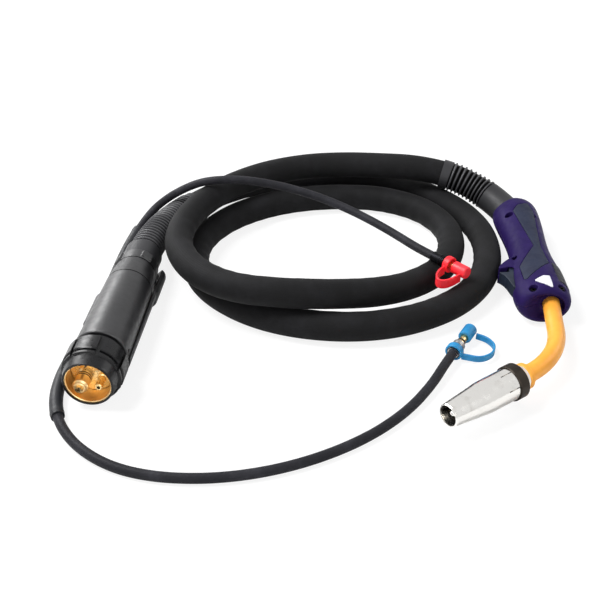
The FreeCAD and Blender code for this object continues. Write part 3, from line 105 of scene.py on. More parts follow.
def studio_floor():
    """A wide pale plane just under the torch."""
    mesh = bpy.data.meshes.new("studio_floor")
    corners = [(-1, -1), (1, -1), (1, 1), (-1, 1)]
    mesh.from_pydata([(x * FLOOR_SIDE, y * FLOOR_SIDE, FLOOR_DROP) for x, y in corners], [], [(0, 1, 2, 3)])
    floor = bpy.data.objects.new("studio_floor", mesh)
    bpy.context.scene.collection.objects.link(floor)
    material = bpy.data.materials.new("matt_white_floor")
    material.use_nodes = True
    tree = material.node_tree
    tree.nodes.clear()
    paint = add(tree, "ShaderNodeBsdfDiffuse", {"Color": linear("#e8e8e8")})
    seen = add(tree, "ShaderNodeBsdfDiffuse", {"Color": linear("#7d7d7d")})
    lift = add(tree, "ShaderNodeEmission", {"Color": linear("#ffffff"), "Strength": FLOOR_LIFT})
    both = add(tree, "ShaderNodeAddShader", {0: seen.outputs[0], 1: lift.outputs[0]})
    rays = add(tree, "ShaderNodeLightPath")
    mix = add(tree, "ShaderNodeMixShader", {0: rays.outputs["Is Camera Ray"], 1: paint.outputs[0],
                                            2: both.outputs[0]})
    add(tree, "ShaderNodeOutputMaterial", {"Surface": mix.outputs[0]})
    mesh.materials.append(material)


def sky():
    """A soft grey sky for light, which the camera and mirrors see as white."""
    world = bpy.data.worlds.new("soft_sky")
    bpy.context.scene.world = world
    world.use_nodes = True
    tree = world.node_tree
    tree.nodes.clear()
    rays = add(tree, "ShaderNodeLightPath")
    shown = add(tree, "ShaderNodeMath", {0: rays.outputs["Is Camera Ray"],
                                         1: rays.outputs["Is Transmission Ray"]}, operation="MAXIMUM")
    glossy = add(tree, "ShaderNodeMath", {0: rays.outputs["Is Glossy Ray"], 1: SKY_IN_MIRRORS},
                 operation="MULTIPLY")
    any_ray = add(tree, "ShaderNodeMath", {0: shown.outputs[0], 1: glossy.outputs[0]}, operation="MAXIMUM")
    strength = add(tree, "ShaderNodeMapRange", {0: any_ray.outputs[0], 3: SKY_LIGHT, 4: 1.0})
    back = add(tree, "ShaderNodeBackground", {"Color": linear("#ffffff"), "Strength": strength.outputs[0]})
    add(tree, "ShaderNodeOutputWorld", {"Surface": back.outputs[0]})


def lamp(name, place, aim, size, watts):
    """A square soft box."""
    data = bpy.data.lights.new(name, "AREA")
    data.size = size
    data.energy = watts
    thing = bpy.data.objects.new(name, data)
    bpy.context.scene.collection.objects.link(thing)
    thing.location = place
    thing.rotation_euler = (Vector(aim) - Vector(place)).to_track_quat("-Z", "Y").to_euler()


studio_floor()
sky()
lamp("key_box", (-1.2, 0.1, 1.7), (-0.15, 0.05, 0), 0.8, 42)
lamp("rim_box", (-1.5, 1.5, 1.1), (-0.2, 0.05, 0), 1.0, 28)
lamp("bore_box", (-0.7, -1.6, 0.5), (-0.36, -0.12, 0.03), 0.5, 4)
lamp("front_box", (0.7, -1.5, 1.4), (-0.1, 0, 0), 1.4, 12)
lamp("side_box", (1.5, 0.7, 0.9), (0, 0, 0.02), 0.8, 5)
bpy.context.scene.view_settings.view_transform = "Standard"


# %% [markdown]
# ## Finishes
# Each finish starts from what the real part is made of. A Principled shader carries the numbers, a noise
# in real millimetres breaks up the colour and the gloss, and a fine bump gives the moulded, woven or
# turned skin. All patterns read object coordinates, or the lay of the fabric where one exists.

# %% Finish helpers
def finish(name, hex_colour, **shader):
    """A material with its Principled shader; returns the material, its tree and the shader."""
    material = bpy.data.materials.new(name)
    material.use_nodes = True
    tree = material.node_tree
    tree.nodes.clear()
    gloss = add(tree, "ShaderNodeBsdfPrincipled", {"Base Color": linear(hex_colour), **shader})
    add(tree, "ShaderNodeOutputMaterial", {"Surface": gloss.outputs[0]})
    material.diffuse_color = linear(hex_colour)
    return material, tree, gloss


def cloud(tree, where, size_mm, detail=3.0, roughness=0.5):
    """Soft noise whose lumps have a real size, as a value from 0 to 1."""
    return add(tree, "ShaderNodeTexNoise", {"Vector": where, "Scale": 1000.0 / size_mm, "Detail": detail,
                                            "Roughness": roughness}).outputs[0]


def between(tree, value, low, high, start=0.35, stop=0.65):
    """Maps a value to a range with soft ends."""
    return add(tree, "ShaderNodeMapRange", {0: value, 1: start, 2: stop, 3: low, 4: high},
               interpolation_type="SMOOTHSTEP").outputs[0]


def two_tone(tree, gloss, mask, first, second):
    """Blends two hex colours by a mask into the shader's base colour."""
    mix = add(tree, "ShaderNodeMix", {"Factor": mask, 6: linear(first), 7: linear(second)}, data_type="RGBA")
    tree.links.new(mix.outputs[2], gloss.inputs["Base Color"])


def relief(tree, gloss, height, depth_mm):
    """A bump of a real depth."""
    bump = add(tree, "ShaderNodeBump", {"Height": height, "Distance": depth_mm * MM})
    tree.links.new(bump.outputs[0], gloss.inputs["Normal"])


def here(tree):
    """Object coordinates in metres, the same as the frame's."""
    return add(tree, "ShaderNodeTexCoord").outputs["Object"]


# %% [markdown]
# Moulded plastics: the casing is polyamide with a fine spark-eroded grain, so its gloss is broken into
# small points. The colour drifts by a few percent, and rubbed places are a shade lighter.

# %% Moulded finishes
PLASTIC_IOR = 1.5


def moulded(name, colour, worn, roughness, grain_mm=0.5, depth_mm=0.02, shine=0.5):
    """Injection-moulded plastic with an eroded grain; shine under 0.5 is a duller skin."""
    material, tree, gloss = finish(name, colour, Roughness=roughness, IOR=PLASTIC_IOR)
    gloss.inputs["Specular IOR Level"].default_value = shine
    where = here(tree)
    two_tone(tree, gloss, between(tree, cloud(tree, where, 14.0, 5.0), 0.0, 1.0), colour, worn)
    rough = between(tree, cloud(tree, where, 6.0, 4.0), roughness - 0.05, roughness + 0.07)
    tree.links.new(rough, gloss.inputs["Roughness"])
    relief(tree, gloss, cloud(tree, where, grain_mm, 2.0), depth_mm)
    return material


PURPLE = moulded("purple_polyamide_casing", "#1e1144", "#24164c", 0.5, shine=0.1)
SLATE = moulded("slate_soft_grip", "#1d2236", "#23293d", 0.6, 0.7, 0.03, shine=0.22)
TRIGGER_PLASTIC = moulded("slate_trigger_plastic", "#1c2330", "#242c3b", 0.45, shine=0.3)
PAD = moulded("grey_thumb_pad_rubber", "#222228", "#2a2a31", 0.6, 0.8, 0.05, shine=0.3)
HOUSING_SHINE = 0.7
BLACK = moulded("black_nylon_housing", "#1c1c1e", "#222224", 0.4, 0.45, 0.01, shine=HOUSING_SHINE)
NUT_BLACK = moulded("black_glossy_nut_plastic", "#101012", "#151517", 0.3, 0.6, 0.008, shine=0.3)
SHEATH = moulded("smooth_grey_sheath", "#1a1b1e", "#202125", 0.48, 1.2, 0.02, shine=0.3)
INSULATOR = moulded("brown_insulator", "#5d4630", "#6b5138", 0.5)
SEAL = moulded("black_nitrile_seal", "#111112", "#18181a", 0.5)
LABEL = moulded("white_label_plate", "#eeeef2", "#e2e3ea", 0.35, 0.4, 0.005)
CONDUIT = moulded("grey_wire_conduit", "#7a7a7c", "#858588", 0.5)
RED = moulded("red_silicone_cap", "#ff222f", "#ff3642", 0.42, 1.5, 0.02, shine=0.4)
BLUE = moulded("blue_silicone_cap", "#1c7cb3", "#2689c0", 0.42, 1.5, 0.02, shine=0.4)


def ribbed_rubber():
    """Boot rubber: crests get a painted highlight and grooves get painted shade. The shape stores how high it
    is.
    """
    material, tree, gloss = finish("black_boot_rubber", "#1c1c1e", Roughness=0.46, IOR=PLASTIC_IOR)
    crest = add(tree, "ShaderNodeAttribute", attribute_name="crest").outputs["Fac"]
    # Painted shade: the grooves lose most of their reflection, and the crests keep it.
    shine = add(tree, "ShaderNodeMapRange", {0: crest, 3: 0.02, 4: 0.5}).outputs[0]
    tree.links.new(shine, gloss.inputs["Specular IOR Level"])
    # Painted highlight and painted shade: crests are light grey and grooves near black, by the stored height.
    two_tone(tree, gloss, crest, "#010101", "#48484b")
    relief(tree, gloss, cloud(tree, here(tree), 0.6, 2.0), 0.02)
    return material


BOOT = ribbed_rubber()


# %% [markdown]
# The pieces of the connector's housing meet in narrow open joints. No light gets into them, so the finish
# turns black there, by the distance along the connector's axis.

# %% Joints of the housing
CONNECTOR_FRONT = Vector((-362.6, -135.9, 27.0)) * MM
CONNECTOR_TURN = math.radians(5.5)
CONNECTOR_AXIS = Vector((math.sin(CONNECTOR_TURN), math.cos(CONNECTOR_TURN), 0.0))
JOINT_STATIONS = (145.05, 173.0)
JOINT_HALF_WIDTH = 0.8


def housing_with_joints():
    """The housing's plastic, black at each joint."""
    material = moulded("black_nylon_with_joints", "#1c1c1e", "#222224", 0.4, 0.45, 0.01, shine=HOUSING_SHINE)
    tree = material.node_tree
    gloss = next(node for node in tree.nodes if node.type == "BSDF_PRINCIPLED")
    along = add(tree, "ShaderNodeVectorMath", {0: here(tree), 1: CONNECTOR_AXIS},
                operation="DOT_PRODUCT").outputs["Value"]
    front = CONNECTOR_FRONT.dot(CONNECTOR_AXIS)
    edge = JOINT_HALF_WIDTH * MM
    open_part = 1.0
    for station in JOINT_STATIONS:
        past = add(tree, "ShaderNodeMath", {0: along, 1: front + station * MM}, operation="SUBTRACT")
        away = add(tree, "ShaderNodeMath", {0: past.outputs[0]}, operation="ABSOLUTE").outputs[0]
        clear = between(tree, away, 0.0, 1.0, 0.5 * edge, edge)
        open_part = add(tree, "ShaderNodeMath", {0: open_part, 1: clear}, operation="MULTIPLY").outputs[0]
    base = gloss.inputs["Base Color"].links[0].from_socket
    mix = add(tree, "ShaderNodeMix", {"Factor": open_part, 6: linear("#000000"), 7: base}, data_type="RGBA")
    tree.links.new(mix.outputs[2], gloss.inputs["Base Color"])
    shine = add(tree, "ShaderNodeMath", {0: open_part, 1: HOUSING_SHINE}, operation="MULTIPLY").outputs[0]
    tree.links.new(shine, gloss.inputs["Specular IOR Level"])
    return material


JOINTED = housing_with_joints()


# %% [markdown]
# Metals: turned brass keeps fine tool rings and warm stains, the nozzle is nickel over copper with long
# soft streaks, and the neck is not metal to the eye at all but a thick ochre lacquer.

# %% Metal finishes
def turned_metal(name, colour, stain, roughness, ring_mm=0.35, depth_mm=0.006):
    """Metal from a lathe: fine rings, a few stains."""
    material, tree, gloss = finish(name, colour, Metallic=1.0, Roughness=roughness)
    where = here(tree)
    two_tone(tree, gloss, between(tree, cloud(tree, where, 9.0, 4.0), 0.0, 1.0, 0.5, 0.8), colour, stain)
    rough = between(tree, cloud(tree, where, 3.0, 4.0), roughness - 0.03, roughness + 0.05)
    tree.links.new(rough, gloss.inputs["Roughness"])
    relief(tree, gloss, cloud(tree, where, ring_mm, 2.0), depth_mm)
    return material


BRASS = turned_metal("turned_brass", "#f8d596", "#eabf78", 0.27, depth_mm=0.0004)
# A lighter copy of the turned brass: painted light for the parts deep in the nut's bore, where little light
# reaches.
BRASS_BORE = turned_metal("brass_painted_lighter_in_bore", "#ffdda2", "#f8cf8c", 0.36, depth_mm=0.0001)
COPPER = turned_metal("drawn_copper", "#c98a63", "#9c5f40", 0.3)
STEEL = turned_metal("zinc_plated_steel", "#b4b4b3", "#8f8f90", 0.32, depth_mm=0.003)
WIRE = turned_metal("spring_wire", "#8c8c8e", "#6a6a6c", 0.3)
OXIDE = turned_metal("black_oxide_screw", "#1d1d20", "#141416", 0.45)
BAND = turned_metal("dark_spring_band", "#3d3732", "#2a2521", 0.4, 1.0, 0.01)
NICKEL = turned_metal("satin_nickel_plate", "#f6f4f0", "#e9e6e1", 0.18, 2.0, 0.001)


def lacquer():
    """Thick satin lacquer in ochre, darker where it is handled."""
    material, tree, gloss = finish("ochre_neck_lacquer", "#f0a03a", Roughness=0.36, IOR=PLASTIC_IOR)
    where = here(tree)
    two_tone(tree, gloss, between(tree, cloud(tree, where, 18.0, 4.0), 0.0, 1.0), "#ffb040", "#f6a536")
    rough = between(tree, cloud(tree, where, 5.0, 3.0), 0.33, 0.45)
    tree.links.new(rough, gloss.inputs["Roughness"])
    relief(tree, gloss, cloud(tree, where, 2.5, 3.0), 0.03)
    return material


LACQUER = lacquer()


# %% [markdown]
# Cloth on hoses: the big sleeve is close-woven nylon and the water lines wear a braid. Both patterns
# follow the hose, so they read a UV map whose units are metres round and along it. The real threads are
# about half a millimetre, too fine for the picture, so they are drawn twice as coarse.

# %% Woven finishes
def woven(name, colour, lit, thread_mm, depth_mm, turn, roughness):
    """Cloth whose threads cross at the given angle to the hose."""
    material, tree, gloss = finish(name, colour, Roughness=roughness, IOR=1.45)
    gloss.inputs["Sheen Weight"].default_value = 0.02
    gloss.inputs["Specular IOR Level"].default_value = 0.13
    lay = add(tree, "ShaderNodeUVMap", uv_map="lay").outputs[0]
    heights = []
    for way in (turn, -turn if turn else math.pi / 2):
        spun = add(tree, "ShaderNodeMapping", {"Vector": lay, "Rotation": (0, 0, way)}).outputs[0]
        wave = add(tree, "ShaderNodeTexWave", {"Vector": spun, "Scale": 1000.0 / thread_mm / 6.283},
                   wave_profile="SIN").outputs[1]
        heights.append(wave)
    cloth = add(tree, "ShaderNodeMath", {0: heights[0], 1: heights[1]}, operation="MAXIMUM").outputs[0]
    where = here(tree)
    dust = cloud(tree, where, 22.0, 6.0, 0.6)
    two_tone(tree, gloss, between(tree, dust, 0.0, 1.0, 0.4, 0.72), colour, lit)
    fluff = cloud(tree, where, 1.6, 4.0)
    both = add(tree, "ShaderNodeMath", {0: cloth, 1: fluff}, operation="ADD").outputs[0]
    relief(tree, gloss, both, depth_mm)
    return material


SLEEVE = woven("woven_nylon_sleeve", "#161617", "#1d1d1f", 1.1, 0.06, 0.0, 0.7)
BRAID = woven("braided_water_hose_cover", "#222226", "#303035", 1.6, 0.09, 0.6, 0.55)


# %% [markdown]
# ## Making meshes
# Two ways give nearly every new shape here: a section carried along a line, and a machined solid softened
# as a mould would have it. The helpers put the place of a piece in its mesh and leave its object at the
# origin.

# %% Mesh helpers
def place_mesh(name, vertices, faces, material, smooth_angle=40.0):
    """Makes an object of vertices in metres, with smooth shading up to an angle."""
    mesh = bpy.data.meshes.new(name)
    mesh.from_pydata([tuple(v) for v in vertices], [], faces)
    mesh.validate()
    thing = bpy.data.objects.new(name, mesh)
    bpy.context.scene.collection.objects.link(thing)
    mesh.materials.append(material)
    soften_shading(mesh, smooth_angle)
    return thing


def soften_shading(mesh, angle):
    """Smooth faces, with edges sharper than the angle kept crisp."""
    mesh.shade_smooth()
    shape = bmesh.new()
    shape.from_mesh(mesh)
    limit = math.radians(angle)
    for edge in shape.edges:
        edge.smooth = len(edge.link_faces) == 2 and edge.calc_face_angle(0) < limit
    shape.to_mesh(mesh)
    shape.free()


def outward(mesh):
    """Points every face out of its shell."""
    shape = bmesh.new()
    shape.from_mesh(mesh)
    bmesh.ops.recalc_face_normals(shape, faces=shape.faces)
    shape.to_mesh(mesh)
    shape.free()


def baked(thing):
    """The object with its modifiers worked into its mesh."""
    depsgraph = bpy.context.evaluated_depsgraph_get()
    made = bpy.data.meshes.new_from_object(thing.evaluated_get(depsgraph), preserve_all_data_layers=True,
                                           depsgraph=depsgraph)
    thing.modifiers.clear()
    thing.data = made
    return thing


SAME_POINT = 1e-6
FACES_KEPT = 0.5


def softened(name, source, voxel_mm, rounds, material, body="torch"):
    """A moulded version of a machined node: its edges get the small radius that a tool leaves."""
    shape = bmesh.new()
    shape.from_mesh(NODES[source].data)
    bmesh.ops.remove_doubles(shape, verts=shape.verts, dist=SAME_POINT)
    mesh = bpy.data.meshes.new(name)
    shape.to_mesh(mesh)
    shape.free()
    thing = bpy.data.objects.new(name, mesh)
    bpy.context.scene.collection.objects.link(thing)
    remesh = thing.modifiers.new("skin", "REMESH")
    remesh.mode = "VOXEL"
    remesh.voxel_size = voxel_mm * MM
    smooth = thing.modifiers.new("radius", "SMOOTH")
    smooth.factor = 0.5
    smooth.iterations = rounds
    fewer = thing.modifiers.new("fewer", "DECIMATE")
    fewer.ratio = FACES_KEPT
    baked(thing)
    thing.data.shade_smooth()
    thing.data.materials.clear()
    thing.data.materials.append(material)
    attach(thing, body)
    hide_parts(source)
    print("%s: %d faces" % (name, len(thing.data.polygons)))
    return thing


def dress(material, *names):
    """Gives a finish to nodes whose machined shape is right."""
    for name in names:
        NODES[name].data.materials.clear()
        NODES[name].data.materials.append(material)


# %% [markdown]
# ## The hoses
# A hose is a fixed length of something that bends, so its line comes first. Each line is one smooth
# spline through a few listed points along the real lay, the same points as the solid's, and the
# tube, its boots and its sheaths all follow points read from that spline.

# %% Lines of the hoses
SHIFT = Vector((-1.6, -11.9, 0.0))


def frame_points(route):
    """A route's points, in metres in the frame."""
    return [(Vector(point) + SHIFT) * MM for point in route]


HOSE_ROUTE = [
    (49.4, 154, 20.5), (41, 184, 21.5), (20, 211, 29.5), (-13, 226, 42.4), (-53, 236, 48.2),
    (-96, 245, 46.3),
    (-139, 252, 44), (-182, 248, 43), (-225, 229, 43), (-263, 198, 43.2), (-290, 157, 43.6),
    (-305, 111, 43.6), (-304, 67, 43.6), (-284.5, 26, 43.6), (-248, -3, 44), (-202, -12, 44),
    (-156, -7, 39.4), (-112, 11, 29), (-73, 40, 19), (-42, 75, 14.2), (-25, 117, 14.2), (-26, 161, 14.2),
    (-48, 200, 14.2), (-88, 225, 14.2), (-134, 231, 14.2), (-182, 226, 14.2), (-227, 208, 14.2),
    (-264, 178, 14.2), (-288, 137, 14.2), (-292.5, 91, 14.2), (-278, 47.5, 14.2), (-248, 12.5, 14.2),
    (-206.5, -12, 14.2), (-159, -24, 14.2), (-109, -22, 14.2), (-62, -5, 14.2), (-24, 25, 14.2),
    (1, 65, 14.2), (11, 113, 14.2), (7, 161, 14.2), (-13, 205, 14.2), (-48, 243, 14.2), (-93, 268, 14.2),
    (-143, 279, 14.2), (-195, 276, 14.2), (-243, 261, 14.2), (-280.5, 234, 14.4), (-305.5, 201, 16.2),
    (-321, 167, 20.5), (-332.5, 131, 25), (-339.9, 95, 27), (-343.3, 59.6, 27),
]
SUPPLY_ROUTE = [
    (-375.4, 3, 9.8), (-378.4, -22, 9.5), (-386.5, -53, 8), (-392.6, -86, 6.8), (-392, -119, 6.3),
    (-382, -151, 6.2), (-361, -178.5, 5.2), (-332, -199, 4.6), (-297, -210, 4.6), (-255, -212, 4.6),
    (-212, -205, 4.6), (-169, -189, 4.6), (-128.5, -164.5, 4.6), (-95, -133.5, 4.8), (-70, -99, 6.2),
    (-54.8, -70, 8), (-42.5, -49, 8.5),
]
RETURN_ROUTE = [
    (-374.8, 9, 9.8), (-371.6, 44, 9.7), (-368.7, 80, 9.6), (-365.2, 117, 10.2), (-360, 146, 12),
    (-352.5, 167, 17.4), (-341.5, 182, 26.2), (-325.5, 185.5, 38), (-306, 182, 51), (-286, 174.5, 62.4),
    (-263, 172, 66), (-238, 174, 64), (-204, 171, 59), (-169, 161, 53), (-138, 147, 46.5),
    (-110, 127, 41.4), (-86, 102, 38.8), (-66, 77, 37.4), (-47.5, 57.5, 37.2),
]


def spline_line(name, route, step_mm):
    """Evenly spaced points on one smooth spline whose control points are the route."""
    curve = bpy.data.curves.new(name, "CURVE")
    curve.dimensions = "3D"
    curve.resolution_u = 24
    spline = curve.splines.new("NURBS")
    points = frame_points(route)
    spline.points.add(len(points) - 1)
    for spot, point in zip(spline.points, points):
        spot.co = (*point, 1.0)
    spline.order_u = 3
    spline.use_endpoint_u = True
    thing = bpy.data.objects.new(name, curve)
    bpy.context.scene.collection.objects.link(thing)
    bpy.context.view_layer.update()
    mesh = bpy.data.meshes.new_from_object(thing)
    raw = [v.co.copy() for v in mesh.vertices]
    bpy.data.objects.remove(thing)
    return even(raw, step_mm * MM)


def even(points, step):
    """The same line with points one step apart."""
    lengths = [0.0]
    for a, b in zip(points, points[1:]):
        lengths.append(lengths[-1] + (b - a).length)
    count = max(2, round(lengths[-1] / step))
    result = []
    k = 0
    for n in range(count + 1):
        wanted = lengths[-1] * n / count
        while k < len(points) - 2 and lengths[k + 1] < wanted:
            k += 1
        share = (wanted - lengths[k]) / max(lengths[k + 1] - lengths[k], 1e-9)
        result.append(points[k].lerp(points[k + 1], min(max(share, 0.0), 1.0)))
    return result


def line_length(points):
    """The length of a line in metres."""
    return sum((b - a).length for a, b in zip(points, points[1:]))


LINE_STEP = 2.0
HOSE_LINE = spline_line("hose_line", HOSE_ROUTE, LINE_STEP)
SUPPLY_LINE = spline_line("supply_line", SUPPLY_ROUTE, LINE_STEP)
RETURN_LINE = spline_line("return_line", RETURN_ROUTE, LINE_STEP)
for name, line in (("main hose", HOSE_LINE), ("supply", SUPPLY_LINE), ("return", RETURN_LINE)):
    print("%s: %.3f m" % (name, line_length(line)))


# %% [markdown]
# A tube needs a steady frame along its line, or its cloth would spin. The frame is carried from one point
# to the next by the smallest turn. The UV map "lay" holds metres round and along the tube.

# %% Tube along a line
def carried_frames(line):
    """The tangent, side and up at each point, turned as little as possible on the way."""
    tangents = []
    for k in range(len(line)):
        tangents.append((line[min(k + 1, len(line) - 1)] - line[max(k - 1, 0)]).normalized())
    side = tangents[0].cross(Vector((0, 0, 1))).normalized()
    frames = []
    for k, tangent in enumerate(tangents):
        if k:
            side = tangents[k - 1].rotation_difference(tangent) @ side
            side = (side - tangent * side.dot(tangent)).normalized()
        frames.append((tangent, side, tangent.cross(side)))
    return frames


def tube(name, line, radius_at, around, material, scale_mm):
    """A capped tube; radius_at gives millimetres for a distance, an angle and the outward direction."""
    frames = carried_frames(line)
    vertices = []
    spots = []
    passed = 0.0
    for k, point in enumerate(line):
        if k:
            passed += (point - line[k - 1]).length
        _, side, up = frames[k]
        for n in range(around):
            angle = 2 * math.pi * n / around
            out = side * math.cos(angle) + up * math.sin(angle)
            vertices.append(point + out * radius_at(passed / MM, angle, out, k) * MM)
        spots.append(passed)
    faces = []
    for k in range(len(line) - 1):
        for n in range(around):
            m = (n + 1) % around
            faces.append((k * around + n, (k + 1) * around + n, (k + 1) * around + m, k * around + m))
    faces.append(tuple(range(around)))
    last = (len(line) - 1) * around
    faces.append(tuple(last + n for n in reversed(range(around))))
    thing = place_mesh(name, vertices, faces, material, 60.0)
    lay = thing.data.uv_layers.new(name="lay")
    girth = 2 * math.pi * scale_mm * MM
    for polygon in thing.data.polygons:
        places = [divmod(thing.data.loops[loop].vertex_index, around) for loop in polygon.loop_indices]
        wraps = max(n for _, n in places) - min(n for _, n in places) > around / 2
        for loop, (k, n) in zip(polygon.loop_indices, places):
            share = (n + (around if wraps and n == 0 else 0)) / around
            lay.data[loop].uv = (share * girth, spots[k])
    outward(thing.data)
    return thing


# %% [markdown]
# The sleeve is loose cloth over cables. It swells and thins a little, and inside its bends it gathers in
# shallow folds. A diagonal lap shows where two lengths of sleeve are joined.

# %% Main hose sleeve
HOSE_RADIUS = 14.0
HOSE_SWELL = 0.35
SWELL_LENGTH = 45.0
FOLD_DEPTH = 0.5
FOLD_PITCH = 3.1
FOLD_DRIFT = 23.0
FULL_FOLD_BEND = 0.1
LAP_AT = 655.0
LAP_SLANT = 16.0
LAP_REACH = 60.0
BEND_REACH = 6
hose_frames = carried_frames(HOSE_LINE)
hose_bend = []
for k in range(len(HOSE_LINE)):
    low, high = max(k - BEND_REACH, 0), min(k + BEND_REACH, len(HOSE_LINE) - 1)
    change = hose_frames[high][0] - hose_frames[low][0]
    hose_bend.append(change / max((HOSE_LINE[high] - HOSE_LINE[low]).length, 1e-6))


def sleeve_radius(distance, angle, out, k):
    """The cloth's radius: slow swelling, folds inside bends and the lap's step."""
    slow = noise.noise(Vector((distance / SWELL_LENGTH, math.cos(angle) * 0.6, math.sin(angle) * 0.6)))
    inside = max(0.0, out.dot(hose_bend[k]) * FULL_FOLD_BEND)
    wave = math.sin(distance / FOLD_PITCH + 1.7 * math.sin(distance / FOLD_DRIFT)) * 0.5 + 0.5
    fold = FOLD_DEPTH * min(inside, 1.0) * wave
    lap = distance - LAP_AT - LAP_SLANT * math.cos(angle + 0.8)
    if abs(lap) >= LAP_REACH:
        return HOSE_RADIUS + HOSE_SWELL * slow - fold
    step = 0.35 / (1 + math.exp(-lap / 0.8)) - 0.18
    return HOSE_RADIUS + HOSE_SWELL * slow - fold + step * (1 - abs(lap) / LAP_REACH)


hose = tube("hose_cloth_sleeve", HOSE_LINE, sleeve_radius, 48, SLEEVE, HOSE_RADIUS)
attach(hose, "torch")
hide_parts("hose_sleeve")
print("sleeve faces:", len(hose.data.polygons))

# %% [markdown]
# The water lines are thin braided hoses. Each leaves the cowl in a smooth sheath, and the braid starts
# where the sheath ends.

# %% Water lines and sheaths
WATER_RADIUS = 4.3
SHEATH_RADIUS = 5.9


def water_line(name, line, node):
    """One braided line with a faint ridge where the braid laps."""
    def radius_at(distance, angle, out, k):
        ridge = 0.12 * max(0.0, math.cos(3 * angle + distance / 60.0)) ** 6
        return WATER_RADIUS + ridge + 0.05 * noise.noise(Vector((distance / 9.0, angle, 0)))
    made = tube(name, line, radius_at, 24, BRAID, WATER_RADIUS)
    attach(made, "torch")
    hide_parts(node)
    return made


def sheath(name, line, length_mm, node):
    """The smooth sheath over the first stretch of a line."""
    part = line[:int(length_mm / LINE_STEP)]

    def radius_at(distance, angle, out, k):
        to_end = length_mm - distance
        rim = 0.35 * math.exp(-((to_end - 6) / 1.6) ** 2)
        end = 0.5 * max(0.0, 1 - to_end / 1.5)
        return SHEATH_RADIUS + rim - end
    made = tube(name, part, radius_at, 28, SHEATH, SHEATH_RADIUS)
    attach(made, "torch")
    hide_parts(node)
    return made


supply = water_line("supply_braided_line", SUPPLY_LINE, "supply_hose")
supply_cover = sheath("supply_smooth_sheath", SUPPLY_LINE, 148.0, "supply_sheath")
back = water_line("return_braided_line", RETURN_LINE, "return_hose")
back_cover = sheath("return_smooth_sheath", RETURN_LINE, 150.0, "return_sheath")

# %% [markdown]
# ## Ribbed boots
# Both boots are rubber bellows that follow the hose. Their shape follows a rule: a smooth collar, a number
# of equal round ribs and a plain cuff. Geometry Nodes can say exactly that: the distance along the hose
# drives the radius of a curve, and Curve to Mesh carries a circle along it.

# %% Boot tree
def boot_tree(material):
    """The rule of a ribbed boot as a node tree with named sizes."""
    tree = bpy.data.node_groups.new("ribbed_boot", "GeometryNodeTree")
    face = tree.interface
    face.new_socket("Geometry", in_out="OUTPUT", socket_type="NodeSocketGeometry")
    face.new_socket("Geometry", in_out="INPUT", socket_type="NodeSocketGeometry")
    for name in ("First Radius", "First End", "Rib Root", "Rib Height", "Rib Count", "Last Start",
                 "Last Radius"):
        face.new_socket(name, in_out="INPUT", socket_type="NodeSocketFloat")
    given = add(tree, "NodeGroupInput").outputs
    along = add(tree, "GeometryNodeSplineParameter").outputs["Length"]

    def maths(operation, first, second=0.0):
        return add(tree, "ShaderNodeMath", {0: first, 1: second}, operation=operation).outputs[0]

    def ramp(value, start, stop, low, high):
        return add(tree, "ShaderNodeMapRange", {0: value, 1: start, 2: stop, 3: low, 4: high},
                   interpolation_type="SMOOTHSTEP").outputs[0]

    span = maths("SUBTRACT", given["Last Start"], given["First End"])
    share = maths("DIVIDE", maths("SUBTRACT", along, given["First End"]), span)
    phase = maths("FRACT", maths("MULTIPLY", share, given["Rib Count"]))
    climb = ramp(phase, 0.18, 0.42, 0.0, 1.0)
    fall = ramp(phase, 0.56, 0.80, 1.0, 0.0)
    high = maths("MULTIPLY", climb, fall)
    ribbed = maths("MULTIPLY_ADD", high, given["Rib Height"])
    tree.links.new(given["Rib Root"], ribbed.node.inputs[2])
    first = maths("SUBTRACT", 1.0, ramp(share, -0.004, 0.012, 0.0, 1.0))
    last = ramp(share, 0.99, 1.004, 0.0, 1.0)
    with_first = add(tree, "ShaderNodeMix", {"Factor": first, 2: ribbed, 3: given["First Radius"]}).outputs[0]
    radius = add(tree, "ShaderNodeMix", {"Factor": last, 2: with_first, 3: given["Last Radius"]}).outputs[0]
    sized = add(tree, "GeometryNodeSetCurveRadius", {"Curve": given["Geometry"], "Radius": radius})
    # The stored height drives the rubber's painted highlight on crests and painted shade in grooves; the
    # collar and cuff get a middle value.
    on_ribs = add(tree, "ShaderNodeMix", {"Factor": first, 2: high, 3: 0.45}).outputs[0]
    crest = add(tree, "ShaderNodeMix", {"Factor": last, 2: on_ribs, 3: 0.5}).outputs[0]
    noted = add(tree, "GeometryNodeStoreNamedAttribute", {"Geometry": sized.outputs[0], "Name": "crest"},
                data_type="FLOAT", domain="POINT")
    tree.links.new(crest, next(slot for slot in noted.inputs if slot.name == "Value" and slot.enabled))
    ring = add(tree, "GeometryNodeCurvePrimitiveCircle", {"Resolution": 64, "Radius": 1.0})
    spread = add(tree, "GeometryNodeInputRadius").outputs[0]
    skin = add(tree, "GeometryNodeCurveToMesh", {"Curve": noted.outputs[0], "Profile Curve": ring.outputs[0],
                                                 "Scale": spread, "Fill Caps": True})
    real = add(tree, "GeometryNodeRealizeInstances", {0: skin.outputs[0]})
    painted = add(tree, "GeometryNodeSetMaterial", {"Geometry": real.outputs[0], "Material": material})
    smooth = add(tree, "GeometryNodeSetShadeSmooth", {0: painted.outputs[0]})
    add(tree, "NodeGroupOutput", {0: smooth.outputs[0]})
    return tree


BOOT_TREE = boot_tree(BOOT)


